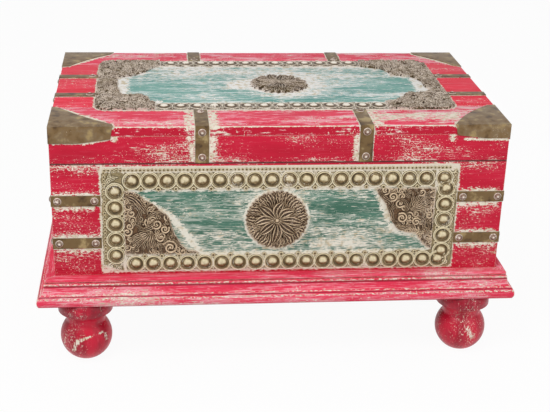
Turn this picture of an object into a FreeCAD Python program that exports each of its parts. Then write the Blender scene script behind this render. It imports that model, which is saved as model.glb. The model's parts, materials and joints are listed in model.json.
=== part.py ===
import FreeCAD, Part

import os

import Sketcher

# A painted wooden storage chest with a hinged lid, a moulded plinth, turned feet and embossed brass trim.
# The frame: origin on the floor under the middle of the chest, +X to the right, the front faces -Y, +Z up.
# Lengths are millimetres. Every piece is its own solid, made from the driving sizes below.

Vector = FreeCAD.Vector
Rotation = FreeCAD.Rotation

SIZES = {
    # Overall
    "body_width": 846,
    "body_depth": 490,
    "body_height": 275,
    "lid_height": 70,
    "seam_gap": 0.6,
    # Boards
    "board_thickness": 20,
    "lid_board_thickness": 18,
    "bottom_thickness": 12,
    "panel_thickness": 14,
    "groove_width": 6,
    "groove_depth": 9,
    "panel_play": 0.5,
    "front_stile_width": 111,
    "front_top_rail_height": 29,
    "front_bottom_rail_height": 24,
    "lid_front_board_depth": 114,
    "lid_back_board_depth": 89,
    "lid_end_board_width": 98,
    # Plinth
    "plinth_height": 52,
    "plinth_rail_depth": 80,
    "plinth_base": 34,
    "plinth_ledge": 18,
    "plinth_bead_height": 20,
    "plinth_bead_bulge": 3.5,
    "plinth_cavetto_height": 11,
    "plinth_cavetto_radius": 14,
    "plinth_astragal_height": 5,
    "plinth_quirk_height": 2.5,
    "plinth_quirk_depth": 1.5,
    "plinth_nose_height": 6,
    "plinth_fillet_height": 1.5,
    "plinth_cavetto_step": 3.5,
    "plinth_astragal_step": 0.5,
    "plinth_ease": 3,
    # Feet
    "foot_height": 130,
    "foot_ball_radius": 49.5,
    "foot_neck_radius": 37,
    "foot_flat_radius": 16,
    "foot_collar_radius": 52,
    "foot_collar_height": 27,
    "foot_cove_radius": 26,
    "foot_side_inset": 53,
    "foot_front_inset": 21,
    "dowel_radius": 14,
    "dowel_length": 38,
    "dowel_clearance": 0.1,
    "dowel_end_gap": 2,
    # Brass sheet and what is embossed in it
    "sheet_thickness": 1,
    "boss_pitch": 32.2,
    "boss_ring_radius": 14.5,
    "boss_ring_land": 13,
    "boss_ring_height": 1.8,
    "boss_dome_radius": 9.5,
    "boss_dome_height": 5,
    "rib_width": 8,
    "rib_height": 1.6,
    "leaf_height": 3.5,
    "scroll_rib_width": 4,
    "scroll_rib_height": 2.6,
    "corner_leaf_length": 24,
    # Brass border on the front
    "border_width": 667,
    "border_top_margin": 5,
    "border_foot_margin": 6,
    "border_top_strip": 48,
    "border_bottom_strip": 36,
    "border_side_strip": 42,
    "border_rib_setback": 4,
    "border_corner_radius": 8,
    "border_cut_width": 40,
    "border_cut_height": 14,
    "top_row_setback": 28,
    "bottom_row_setback": 17,
    "row_shift": 2.5,
    "left_column_setback": 26,
    "right_column_setback": 22,
    "column_top_setback": 49,
    "column_foot_setback": 33,
    # Rosettes
    "rosette_radius": 59.5,
    "rosette_disc_radius": 52,
    "rosette_height": 8,
    "front_rosette_shift": -7.5,
    "front_rosette_rise": 3,
    "lid_rosette_shift": 17,
    "lid_rosette_setback": 255,
    # Straps
    "strap_thickness": 1.2,
    "strap_gap": 0.5,
    "side_strap_width": 21,
    "upper_strap_drop": 72,
    "lower_strap_drop": 157,
    "side_strap_wrap": 88,
    "lid_strap_width": 25,
    "lid_strap_left": 148,
    "lid_strap_right": 154,
    "lid_strap_back_wrap": 15,
    "end_strap_front": 190,
    "end_strap_back": 312,
    # Brass border on the lid
    "lid_border_width": 692,
    "lid_border_front": 93,
    "lid_border_back": 68,
    "lid_border_strip": 42,
    "lid_boss_pitch": 31.6,
    "lid_border_corner": 28,
    # Corner caps
    "cap_thickness": 1.2,
    "cap_waist": 14,
    # Dome nails
    "nail_radius": 7.5,
    "nail_dome_height": 4,
    "nail_end_setback": 11,
    # Hinges
    "hinge_width": 50,
    "hinge_leaf_height": 42,
    "hinge_leaf_thickness": 2,
    "hinge_barrel_radius": 4.5,
    "hinge_barrel_standoff": 0.3,
    "hinge_knuckle_gap": 0.3,
    "hinge_pin_radius": 2.5,
    "hinge_bore_clearance": 0.05,
    "hinge_pin_head_radius": 3.6,
    "hinge_pin_head_height": 1.6,
    "hinge_screw_radius": 4,
    "hinge_screw_height": 1.8,
}

DOC = FreeCAD.newDocument("StorageChest")
SHEET = DOC.addObject("Spreadsheet::Sheet", "Sizes")
for row, (alias, size) in enumerate(SIZES.items(), start=1):
    SHEET.set(f"A{row}", alias)
    SHEET.set(f"B{row}", str(size))
    SHEET.setAlias(f"B{row}", alias)
DOC.recompute()

# Places that many pieces share, as expressions on the sheet
HALF_WIDTH = "Sizes.body_width / 2"
HALF_DEPTH = "Sizes.body_depth / 2"
INNER_HALF_WIDTH = "(Sizes.body_width / 2 - Sizes.board_thickness)"
INNER_HALF_DEPTH = "(Sizes.body_depth / 2 - Sizes.board_thickness)"
PLINTH_TOP = "(Sizes.foot_height + Sizes.plinth_height)"
SEAM = "(Sizes.foot_height + Sizes.body_height)"
LID_UNDERSIDE = f"({SEAM} + Sizes.seam_gap)"
LID_TOP = f"({LID_UNDERSIDE} + Sizes.lid_height)"
LID_BOARD_UNDERSIDE = f"({LID_TOP} - Sizes.lid_board_thickness)"
TONGUE = "(Sizes.groove_depth - Sizes.panel_play)"

UP = Vector(0, 0, 1)
DOWN = Vector(0, 0, -1)
RIGHT = Vector(1, 0, 0)
LEFT = Vector(-1, 0, 0)
FRONT = Vector(0, -1, 0)
BACK = Vector(0, 1, 0)

PIECES = {}


def value(expression):
    """The number that an expression on the sheet comes to."""
    return float(SHEET.evalExpression(expression))


def bind(item, **places):
    """Bind properties of an object to expressions, with x, y and z standing for its place."""
    for name, expression in places.items():
        path = f"Placement.Base.{name}" if name in ("x", "y", "z") else name
        item.setExpression(path, expression)
    return item


def keep(name, item):
    """Name an object as one piece of the chest."""
    item.Label = name
    PIECES[name] = item
    return item


# Boards

def block(name, x, y, z):
    """A rectangular block between two bounds on each axis."""
    box = DOC.addObject("Part::Box", name)
    bind(box, x=x[0], y=y[0], z=z[0])
    bind(box, Length=f"({x[1]}) - ({x[0]})", Width=f"({y[1]}) - ({y[0]})", Height=f"({z[1]}) - ({z[0]})")
    return box


def joined(name, blocks):
    """Blocks of one board fused into one solid."""
    fused = DOC.addObject("Part::MultiFuse", name)
    fused.Shapes = blocks
    fused.Refine = True
    return fused


def grooved(name, board, groove):
    """A board with a groove ploughed in it."""
    cut = DOC.addObject("Part::Cut", name)
    cut.Base = board
    cut.Tool = groove
    return cut


def grouped(name, items):
    """Several like solids kept as one node."""
    group = DOC.addObject("Part::Compound", name)
    group.Links = items
    return keep(name, group)


# Sketches and features

def origin_part(body, role):
    """One of a body's own origin planes or axes."""
    return next(item for item in body.Origin.OriginFeatures if item.Role == role)


def new_body(name, x="0", y="0", z="0", rotation=None, piece=True):
    """An empty body with its place bound to the sheet, kept as a piece of the chest unless told otherwise."""
    body = DOC.addObject("PartDesign::Body", name)
    body.Placement = FreeCAD.Placement(Vector(), rotation or Rotation())
    bind(body, x=x, y=y, z=z)
    return keep(name, body) if piece else body


def new_sketch(body, name, plane, offset=("0", "0", "0"), turn=None):
    """A sketch on one of the body's origin planes, moved in that plane's own axes by an expression each."""
    sketch = body.newObject("Sketcher::SketchObject", name)
    sketch.AttachmentSupport = (origin_part(body, plane), [""])
    sketch.MapMode = "FlatFace"
    sketch.AttachmentOffset = FreeCAD.Placement(Vector(), turn or Rotation())
    for axis, expression in zip("xyz", offset):
        sketch.setExpression(f"AttachmentOffset.Base.{axis}", expression)
    return sketch


def constrain(sketch, kind, *where):
    """Add one constraint whose last entry is the expression that drives it."""
    *geometry, expression = where
    index = sketch.addConstraint(Sketcher.Constraint(kind, *geometry, value(expression)))
    sketch.setExpression(f"Constraints[{index}]", expression)


def arc_between(start, end, radius, turn):
    """The shorter arc between two points, bending left for turn 1 and right for turn -1."""
    chord = end - start
    reach = max(radius ** 2 - chord.Length ** 2 / 4, 0) ** 0.5
    left = Vector(-chord.y, chord.x, 0).normalize()
    centre = (start + end) / 2 + left * reach * turn
    circle = Part.Circle(centre, Vector(0, 0, 1), radius)
    first, last = (start, end) if turn > 0 else (end, start)
    return Part.ArcOfCircle(circle, circle.parameter(first), circle.parameter(last))


def outline(sketch, corners):
    """Draw a closed outline through corners (x, y), or (x, y, radius, turn) where an arc leads to the corner.

    A radius of None makes the arc's centre lie on the sketch's upright axis.
    """
    points = [Vector(value(corner[0]), value(corner[1]), 0) for corner in corners]
    ends = []
    for index, corner in enumerate(corners):
        start = points[index - 1]
        end = points[index]
        if len(corner) == 2:
            edge = sketch.addGeometry(Part.LineSegment(start, end))
            ends.append((edge, 1, 2))
            continue
        radius, turn = corner[2:]
        if radius is None:
            height = (end.x ** 2 - start.x ** 2 + end.y ** 2 - start.y ** 2) / (2 * (end.y - start.y))
            size = (start - Vector(0, height, 0)).Length
        else:
            size = value(radius)
        edge = sketch.addGeometry(arc_between(start, end, size, turn))
        ends.append((edge, 1, 2) if turn > 0 else (edge, 2, 1))
        if radius is None:
            sketch.addConstraint(Sketcher.Constraint("PointOnObject", edge, 3, -2))
        else:
            constrain(sketch, "Radius", edge, radius)
    for index, corner in enumerate(corners):
        edge, _, tip = ends[index]
        following, foot, _ = ends[(index + 1) % len(corners)]
        sketch.addConstraint(Sketcher.Constraint("Coincident", edge, tip, following, foot))
        constrain(sketch, "DistanceX", -1, 1, edge, tip, corner[0])
        constrain(sketch, "DistanceY", -1, 1, edge, tip, corner[1])
    return sketch


def rectangle(sketch, x, y):
    """Draw a rectangle between two bounds on each axis of the sketch."""
    return outline(sketch, [(x[0], y[0]), (x[1], y[0]), (x[1], y[1]), (x[0], y[1])])


def disc(sketch, radius, x="0", y="0"):
    """Draw a circle."""
    circle = sketch.addGeometry(Part.Circle(Vector(value(x), value(y), 0), Vector(0, 0, 1), value(radius)))
    constrain(sketch, "DistanceX", -1, 1, circle, 3, x)
    constrain(sketch, "DistanceY", -1, 1, circle, 3, y)
    constrain(sketch, "Radius", circle, radius)
    return sketch


def pad(body, name, sketch, length, both_ways=False):
    """Raise a sketch by a length, to its front side or half to each side."""
    feature = body.newObject("PartDesign::Pad", name)
    feature.Profile = sketch
    feature.Midplane = both_ways
    feature.setExpression("Length", length)
    return feature


def pocket(body, name, sketch, length, both_ways=False, upward=False):
    """Cut a sketch away to a depth behind it, upward to its front side, or half to each side."""
    feature = body.newObject("PartDesign::Pocket", name)
    feature.Profile = sketch
    feature.Midplane = both_ways
    feature.Reversed = upward
    feature.setExpression("Length", length)
    return feature


def revolve(body, name, sketch):
    """Turn a sketch round its own upright axis."""
    feature = body.newObject("PartDesign::Revolution", name)
    feature.Profile = sketch
    feature.ReferenceAxis = (sketch, ["V_Axis"])
    feature.Angle = 360
    return feature


def row_of(body, name, features, axis, count, spacing, backwards=False):
    """Repeat features along one of the body's axes."""
    pattern = body.newObject("PartDesign::LinearPattern", name)
    pattern.Originals = features
    pattern.Direction = (origin_part(body, axis), [""])
    pattern.Reversed = backwards
    pattern.Mode = "Spacing"
    pattern.setExpression("Offset", spacing)
    pattern.setExpression("Occurrences", count)
    body.Tip = pattern
    return pattern


def ring_of(body, name, features, count):
    """Repeat features evenly round the body's own Z axis."""
    pattern = body.newObject("PartDesign::PolarPattern", name)
    pattern.Originals = features
    pattern.Axis = (origin_part(body, "Z_Axis"), [""])
    pattern.Angle = 360
    pattern.Occurrences = count
    body.Tip = pattern
    return pattern


# Carcass: a grooved frame with a floating panel in front, plain boards behind and at the ends

def make_carcass():
    """The front frame and panel, the back, the ends and the bottom."""
    front_face = f"-{HALF_DEPTH}"
    back_of_front = f"-{HALF_DEPTH} + Sizes.board_thickness"
    thickness = (front_face, back_of_front)
    height = (PLINTH_TOP, SEAM)
    stile_edge = f"({HALF_WIDTH} - Sizes.front_stile_width)"
    opening_foot = f"({PLINTH_TOP} + Sizes.front_bottom_rail_height)"
    opening_head = f"({SEAM} - Sizes.front_top_rail_height)"
    groove_front = f"-{HALF_DEPTH} + (Sizes.board_thickness - Sizes.groove_width) / 2"
    groove_back = f"-{HALF_DEPTH} + (Sizes.board_thickness + Sizes.groove_width) / 2"
    groove = (groove_front, groove_back)

    tenon_reach = f"({stile_edge} + Sizes.groove_depth)"

    stiles = {
        "front_left_stile": ((f"-({HALF_WIDTH})", f"-{stile_edge}"), (f"-{tenon_reach}", f"-{stile_edge}")),
        "front_right_stile": ((stile_edge, HALF_WIDTH), (stile_edge, tenon_reach)),
    }
    for name, (board_span, groove_span) in stiles.items():
        board = block(f"{name}_board", board_span, thickness, height)
        plough = block(f"{name}_groove", groove_span, groove, height)
        keep(name, grooved(name, board, plough))

    groove_head = f"({opening_head} + Sizes.groove_depth)"
    groove_foot = f"({opening_foot} - Sizes.groove_depth)"
    rails = {
        "front_top_rail": ((opening_head, SEAM), (opening_head, groove_head)),
        "front_bottom_rail": ((PLINTH_TOP, opening_foot), (groove_foot, opening_foot)),
    }
    for name, (board_span, groove_span) in rails.items():
        board = block(f"{name}_board", (f"-{stile_edge}", stile_edge), thickness, board_span)
        tenons = block(f"{name}_tenons", (f"-{tenon_reach}", tenon_reach), groove, board_span)
        plough = block(f"{name}_groove", (f"-{tenon_reach}", tenon_reach), groove, groove_span)
        keep(name, grooved(name, joined(f"{name}_solid", [board, tenons]), plough))

    field = block(
        "front_panel_field",
        (f"-{stile_edge}", stile_edge),
        (front_face, f"-{HALF_DEPTH} + Sizes.panel_thickness"),
        (opening_foot, opening_head),
    )
    tongues = block(
        "front_panel_tongues",
        (f"-{stile_edge} - {TONGUE}", f"{stile_edge} + {TONGUE}"),
        groove,
        (f"{opening_foot} - {TONGUE}", f"{opening_head} + {TONGUE}"),
    )
    keep("front_panel", joined("front_panel", [field, tongues]))

    whole_width = (f"-({HALF_WIDTH})", HALF_WIDTH)
    between = (f"-{INNER_HALF_DEPTH}", INNER_HALF_DEPTH)
    keep("back_board", block("back_board", whole_width, (INNER_HALF_DEPTH, HALF_DEPTH), height))
    left_end = (f"-({HALF_WIDTH})", f"-{INNER_HALF_WIDTH}")
    right_end = (INNER_HALF_WIDTH, HALF_WIDTH)
    keep("left_end_board", block("left_end_board", left_end, between, height))
    keep("right_end_board", block("right_end_board", right_end, between, height))
    keep("bottom_board", block(
        "bottom_board",
        (f"-{INNER_HALF_WIDTH}", INNER_HALF_WIDTH),
        between,
        (PLINTH_TOP, f"{PLINTH_TOP} + Sizes.bottom_thickness"),
    ))


# Plinth: four moulded rails, mitred at the corners

def plinth_profile():
    """The moulding's section: out from the body's face, and up from the underside."""
    bulge = "Sizes.plinth_bead_bulge"
    shoulder = f"(Sizes.plinth_base - {bulge})"
    bead_radius = f"(Sizes.plinth_bead_height ^ 2 / 4 + {bulge} ^ 2) / (2 * {bulge})"
    ledge = "Sizes.plinth_ledge"
    nose_foot = "Sizes.plinth_height - Sizes.plinth_nose_height"
    astragal_head = f"{nose_foot} - Sizes.plinth_quirk_height"
    astragal_foot = f"{astragal_head} - Sizes.plinth_astragal_height"
    astragal_face = f"{ledge} + Sizes.plinth_astragal_step"
    astragal_radius = "Sizes.plinth_astragal_height / 2 + 0.1"
    quirk = f"{ledge} - Sizes.plinth_quirk_depth"
    cavetto_foot = "Sizes.plinth_bead_height + Sizes.plinth_fillet_height"
    cavetto_head = f"{cavetto_foot} + Sizes.plinth_cavetto_height"
    cavetto_face = f"{ledge} + Sizes.plinth_cavetto_step"
    inner = "-(Sizes.plinth_rail_depth - Sizes.plinth_base)"
    return [
        (inner, "0"),
        (shoulder, "0"),
        (shoulder, "Sizes.plinth_bead_height", bead_radius, 1),
        (f"{shoulder} - 1", cavetto_foot),
        (cavetto_face, cavetto_head, "Sizes.plinth_cavetto_radius", -1),
        (f"{cavetto_face} - 1", f"{astragal_foot} - 1"),
        (astragal_face, astragal_foot),
        (astragal_face, astragal_head, astragal_radius, 1),
        (quirk, astragal_head),
        (quirk, nose_foot),
        (ledge, nose_foot),
        (ledge, "Sizes.plinth_height - Sizes.plinth_ease"),
        (f"{ledge} - Sizes.plinth_ease", "Sizes.plinth_height", "Sizes.plinth_ease", 1),
        (inner, "Sizes.plinth_height"),
    ]


def make_plinth_rail(name, face, length, angle, foot_inset=None):
    """One rail: its section run along X, mitred at both ends, and bored for dowels where it carries feet."""
    body = new_body(name, face[0], face[1], "Sizes.foot_height", Rotation(Vector(0, 0, 1), angle))
    outer_half = f"({length} / 2 + Sizes.plinth_base)"
    section = outline(new_sketch(body, "section", "YZ_Plane"), plinth_profile())
    pad(body, "moulding", section, f"2 * {outer_half}", both_ways=True)
    mitres = new_sketch(body, "mitres", "XY_Plane")
    inner = "(Sizes.plinth_base - Sizes.plinth_rail_depth)"
    for side in (-1, 1):
        outline(mitres, [
            (f"{side} * {outer_half}", "Sizes.plinth_base"),
            (f"{side} * {outer_half}", inner),
            (f"{side} * ({outer_half} - Sizes.plinth_rail_depth)", inner),
        ])
    pocket(body, "mitre_cuts", mitres, "2 * Sizes.plinth_height + 2", both_ways=True)
    if foot_inset:
        along, inward = foot_inset
        bores = new_sketch(body, "dowel_places", "XY_Plane")
        bore_radius = "Sizes.dowel_radius + Sizes.dowel_clearance"
        for side in (-1, 1):
            disc(bores, bore_radius, f"{side} * ({length} / 2 - {along})", f"-{inward}")
        pocket(body, "dowel_bores", bores, "Sizes.dowel_length + Sizes.dowel_end_gap", upward=True)


def make_plinth():
    """The four rails round the foot of the body."""
    inset = ("Sizes.foot_side_inset", "Sizes.foot_front_inset")
    make_plinth_rail("plinth_front", ("0", f"-({HALF_DEPTH})"), "Sizes.body_width", 180, inset)
    make_plinth_rail("plinth_back", ("0", HALF_DEPTH), "Sizes.body_width", 0, inset)
    make_plinth_rail("plinth_left", (f"-({HALF_WIDTH})", "0"), "Sizes.body_depth", 90)
    make_plinth_rail("plinth_right", (HALF_WIDTH, "0"), "Sizes.body_depth", 270)


# Feet: turned balls under a collar, each with its dowel

def make_foot(name, side, end):
    """One turned foot, its origin at the plinth's underside."""
    x = f"{side} * ({HALF_WIDTH} - Sizes.foot_side_inset)"
    y = f"{end} * ({HALF_DEPTH} - Sizes.foot_front_inset)"
    body = new_body(name, x, y, "Sizes.foot_height")
    centre = "sqrt(Sizes.foot_ball_radius ^ 2 - Sizes.foot_flat_radius ^ 2)"
    neck = f"({centre} + sqrt(Sizes.foot_ball_radius ^ 2 - Sizes.foot_neck_radius ^ 2) - Sizes.foot_height)"
    profile = outline(new_sketch(body, "profile", "XZ_Plane"), [
        ("0", "-Sizes.foot_height"),
        ("Sizes.foot_flat_radius", "-Sizes.foot_height"),
        ("Sizes.foot_neck_radius", neck, None, 1),
        ("Sizes.foot_collar_radius", "-Sizes.foot_collar_height", "Sizes.foot_cove_radius", -1),
        ("Sizes.foot_collar_radius", "0"),
        ("Sizes.dowel_radius", "0"),
        ("Sizes.dowel_radius", "Sizes.dowel_length"),
        ("0", "Sizes.dowel_length"),
    ])
    revolve(body, "turning", profile)


def make_feet():
    """A foot under each corner."""
    for end_name, end in (("front", -1), ("back", 1)):
        for side_name, side in (("left", -1), ("right", 1)):
            make_foot(f"foot_{end_name}_{side_name}", side, end)


# Embossed brass: each sheet is drawn flat, its outer side up, and then laid on the front or the lid

ON_FRONT = Rotation(Vector(1, 0, 0), 90)


def front_sheet(name, x="0", height="0"):
    """A body lying on the front face, its X to the right and its Y upwards from the plinth's underside."""
    return new_body(name, x, f"-{HALF_DEPTH}", f"Sizes.foot_height + {height}", ON_FRONT)


def lid_sheet(name, x="0", setback="0"):
    """A body lying on the lid's top, its X to the right and its Y backwards from the front edge."""
    return new_body(name, x, f"-{HALF_DEPTH} + {setback}", LID_TOP)


def boss(body, name, x, y, scale="1"):
    """A ring with a dome inside it, at a place on the sheet."""
    profile = outline(new_sketch(body, f"{name}_profile", "XZ_Plane", (x, "0", f"-({y})")), [
        ("0", "0"),
        (f"Sizes.boss_ring_radius * {scale}", "0"),
        (f"Sizes.boss_ring_radius * {scale}", "Sizes.sheet_thickness"),
        (f"Sizes.boss_ring_land * {scale}", "Sizes.sheet_thickness + Sizes.boss_ring_height"),
        (f"Sizes.boss_dome_radius * {scale}", "Sizes.sheet_thickness + Sizes.boss_ring_height"),
        ("0", "Sizes.sheet_thickness + Sizes.boss_dome_height", None, 1),
    ])
    return revolve(body, name, profile)


def ridged_leaf(body, name, stations, x="0", y="0", angle=0):
    """An embossed leaf with a ridge down its middle, pointing away from a place on the sheet.

    Each station is (distance from that place, half width, height).
    """
    turn = Rotation(Vector(0, 1, 0), angle)
    sections = []
    for index, (reach, half_width, height) in enumerate(stations):
        offset = (f"({y}) + ({reach}) * sin({angle} deg)", "0", f"({x}) + ({reach}) * cos({angle} deg)")
        section = new_sketch(body, f"{name}_section_{index}", "YZ_Plane", offset, turn)
        outline(section, [(f"-({half_width})", "0"), (half_width, "0"), ("0", height)])
        sections.append(section)
    leaf = body.newObject("PartDesign::AdditiveLoft", name)
    leaf.Profile = sections[0]
    leaf.Sections = sections[1:]
    leaf.Ruled = True
    return leaf


BORDER_HALF = "(Sizes.border_width / 2)"
BORDER_HEAD = "(Sizes.body_height - Sizes.border_top_margin)"
BORDER_FOOT = "(Sizes.plinth_height + Sizes.border_foot_margin)"
FIELD_HALF = f"({BORDER_HALF} - Sizes.border_side_strip)"
FIELD_HEAD = f"({BORDER_HEAD} - Sizes.border_top_strip)"
FIELD_FOOT = f"({BORDER_FOOT} + Sizes.border_bottom_strip)"


def bead_rib(body, x, y):
    """A raised rib in a sheet, which carries its fine beading."""
    rib = rectangle(new_sketch(body, "rib_outline", "XY_Plane"), x, y)
    pad(body, "bead_rib", rib, "Sizes.sheet_thickness + Sizes.rib_height")


def make_front_strips():
    """The border strips above and below the panel, each with its bosses, the top one with a bead rib."""
    row_length = f"(2 * {FIELD_HALF} - 2 * Sizes.boss_ring_radius - 2 * Sizes.row_shift)"
    count = f"floor({row_length} / Sizes.boss_pitch) + 1"
    half_row = f"({count} - 1) * Sizes.boss_pitch / 2"
    width = (f"-{FIELD_HALF}", FIELD_HALF)

    top = front_sheet("front_border_top")
    sheet = rectangle(new_sketch(top, "outline", "XY_Plane"), width, (FIELD_HEAD, BORDER_HEAD))
    pad(top, "sheet", sheet, "Sizes.sheet_thickness")
    rib_head = f"({BORDER_HEAD} - Sizes.border_rib_setback)"
    bead_rib(top, width, (f"{rib_head} - Sizes.rib_width", rib_head))
    row_height = f"{BORDER_HEAD} - Sizes.top_row_setback"
    first = boss(top, "boss", f"-({half_row}) - Sizes.row_shift", row_height)
    row_of(top, "boss_row", [first], "X_Axis", count, "Sizes.boss_pitch")

    bottom = front_sheet("front_border_bottom")
    sheet = rectangle(new_sketch(bottom, "outline", "XY_Plane"), width, (BORDER_FOOT, FIELD_FOOT))
    pad(bottom, "sheet", sheet, "Sizes.sheet_thickness")
    row_height = f"{BORDER_FOOT} + Sizes.bottom_row_setback"
    first = boss(bottom, "boss", f"-({half_row}) + Sizes.row_shift", row_height)
    row_of(bottom, "boss_row", [first], "X_Axis", count, "Sizes.boss_pitch")


def make_front_columns():
    """The border strips at the panel's ends, with a bead rib and a column of bosses."""
    column_length = f"({BORDER_HEAD} - {BORDER_FOOT} - Sizes.column_top_setback - Sizes.column_foot_setback)"
    count = f"floor({column_length} / Sizes.boss_pitch) + 1"
    column_head = f"{BORDER_HEAD} - Sizes.column_top_setback"

    left = front_sheet("front_border_left")
    sheet = outline(new_sketch(left, "outline", "XY_Plane"), [
        (f"-{BORDER_HALF}", BORDER_HEAD),
        (f"-{BORDER_HALF}", f"{BORDER_FOOT} + Sizes.border_cut_height"),
        (f"-{BORDER_HALF} + Sizes.border_cut_width", BORDER_FOOT),
        (f"-{FIELD_HALF}", BORDER_FOOT),
        (f"-{FIELD_HALF}", BORDER_HEAD),
    ])
    pad(left, "sheet", sheet, "Sizes.sheet_thickness")
    rib_edge = f"-{BORDER_HALF} + Sizes.border_rib_setback"
    rib_foot = f"{BORDER_FOOT} + Sizes.border_cut_height"
    bead_rib(left, (rib_edge, f"{rib_edge} + Sizes.rib_width"), (rib_foot, BORDER_HEAD))
    first = boss(left, "boss", f"-{BORDER_HALF} + Sizes.left_column_setback", column_head)
    row_of(left, "boss_column", [first], "Y_Axis", count, "Sizes.boss_pitch", backwards=True)
    corner_x = f"-{FIELD_HALF} - Sizes.corner_leaf_length"
    corner_y = f"{BORDER_HEAD} - Sizes.top_row_setback - Sizes.corner_leaf_length / 4"
    fan_of_leaves(left, "corner_leaf", corner_x, corner_y, (5, 50), "Sizes.corner_leaf_length", "4.5")

    right = front_sheet("front_border_right")
    sheet = outline(new_sketch(right, "outline", "XY_Plane"), [
        (FIELD_HALF, BORDER_HEAD),
        (FIELD_HALF, BORDER_FOOT),
        (f"{BORDER_HALF} - Sizes.border_corner_radius", BORDER_FOOT),
        (BORDER_HALF, f"{BORDER_FOOT} + Sizes.border_corner_radius", "Sizes.border_corner_radius", 1),
        (BORDER_HALF, BORDER_HEAD),
    ])
    pad(right, "sheet", sheet, "Sizes.sheet_thickness")
    rib_edge = f"{BORDER_HALF} - Sizes.border_rib_setback"
    rib_foot = f"{BORDER_FOOT} + Sizes.border_corner_radius"
    bead_rib(right, (f"{rib_edge} - Sizes.rib_width", rib_edge), (rib_foot, BORDER_HEAD))
    corner_x = f"{FIELD_HALF} + Sizes.boss_ring_radius"
    boss(right, "head_boss", corner_x, f"{BORDER_HEAD} - Sizes.top_row_setback")
    boss(right, "foot_boss", corner_x, f"{BORDER_FOOT} + Sizes.bottom_row_setback")
    first = boss(right, "boss", f"{BORDER_HALF} - Sizes.right_column_setback", column_head)
    row_of(right, "boss_column", [first], "Y_Axis", count, "Sizes.boss_pitch", backwards=True)


def fan_of_leaves(body, name, x, y, angles, length, half_width):
    """Leaves that spring from one place at the given angles."""
    for angle in angles:
        stations = [
            ("4", f"{half_width} * 0.3", "Sizes.sheet_thickness + Sizes.leaf_height * 0.4"),
            (f"{length} * 0.6", half_width, "Sizes.sheet_thickness + Sizes.leaf_height"),
            (length, f"{half_width} * 0.15", "Sizes.sheet_thickness + Sizes.leaf_height * 0.1"),
        ]
        ridged_leaf(body, f"{name}_{angle}", stations, x, y, angle)


def c_scroll(body, name, x, y, radius, start):
    """A rib bent round three quarters of a circle, opening on the side of its start angle."""
    outer = f"({radius})"
    inner = f"({radius} - Sizes.scroll_rib_width)"
    angles = [start + 45, start + 180, start + 315]

    def at(reach, angle):
        return (f"({x}) + {reach} * cos({angle} deg)", f"({y}) + {reach} * sin({angle} deg)")

    rib = outline(new_sketch(body, f"{name}_outline", "XY_Plane"), [
        at(outer, angles[0]),
        at(outer, angles[1]) + (outer, 1),
        at(outer, angles[2]) + (outer, 1),
        at(inner, angles[2]),
        at(inner, angles[1]) + (inner, -1),
        at(inner, angles[0]) + (inner, -1),
    ])
    pad(body, name, rib, "Sizes.sheet_thickness + Sizes.scroll_rib_height")


def make_scroll_sheets():
    """The leaf scroll sheets in the panel's lower left and upper right corners."""
    left = front_sheet("front_scroll_left")
    edge = f"-{FIELD_HALF}"
    foot = FIELD_FOOT
    sheet = outline(new_sketch(left, "outline", "XY_Plane"), [
        (edge, foot),
        (f"{edge} + 134", foot),
        (f"{edge} + 88", f"{foot} + 58", "110", -1),
        (f"{edge} + 80", f"{foot} + 82"),
        (f"{edge} + 21", f"{foot} + 126", "160", -1),
        (edge, FIELD_HEAD),
    ])
    pad(left, "sheet", sheet, "Sizes.sheet_thickness")
    fan_of_leaves(left, "leaf", f"{edge} + 34", f"{foot} + 20", (20, 50, 80, 110), "42", "8")
    boss(left, "upper_volute", f"{edge} + 62", f"{foot} + 80", "0.9")
    boss(left, "middle_volute", f"{edge} + 66", f"{foot} + 44", "0.75")
    boss(left, "lower_volute", f"{edge} + 96", f"{foot} + 18", "1.1")
    c_scroll(left, "upper_scroll", f"{edge} + 20", f"{foot} + 88", "15", 20)
    c_scroll(left, "lower_scroll", f"{edge} + 17", f"{foot} + 16", "13", 200)

    right = front_sheet("front_scroll_right")
    edge = FIELD_HALF
    head = FIELD_HEAD
    sheet = outline(new_sketch(right, "outline", "XY_Plane"), [
        (edge, head),
        (f"{edge} - 112", head),
        (f"{edge} - 84", f"{head} - 56", "200", 1),
        (f"{edge} - 62", f"{head} - 89", "90", 1),
        (f"{edge} - 33", f"{head} - 92"),
        (f"{edge} - 22", f"{head} - 109"),
        (edge, FIELD_FOOT, "60", 1),
    ])
    pad(right, "sheet", sheet, "Sizes.sheet_thickness")
    fan_of_leaves(right, "leaf", f"{edge} - 34", f"{head} - 22", (195, 225, 255, 285), "40", "8")
    boss(right, "upper_volute", f"{edge} - 82", f"{head} - 17", "0.9")
    boss(right, "middle_volute", f"{edge} - 62", f"{head} - 62", "0.9")
    boss(right, "lower_volute", f"{edge} - 28", f"{head} - 72", "0.75")
    c_scroll(right, "upper_scroll", f"{edge} - 17", f"{head} - 18", "13", 20)
    c_scroll(right, "lower_scroll", f"{edge} - 46", f"{head} - 84", "6.5", 200)


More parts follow.
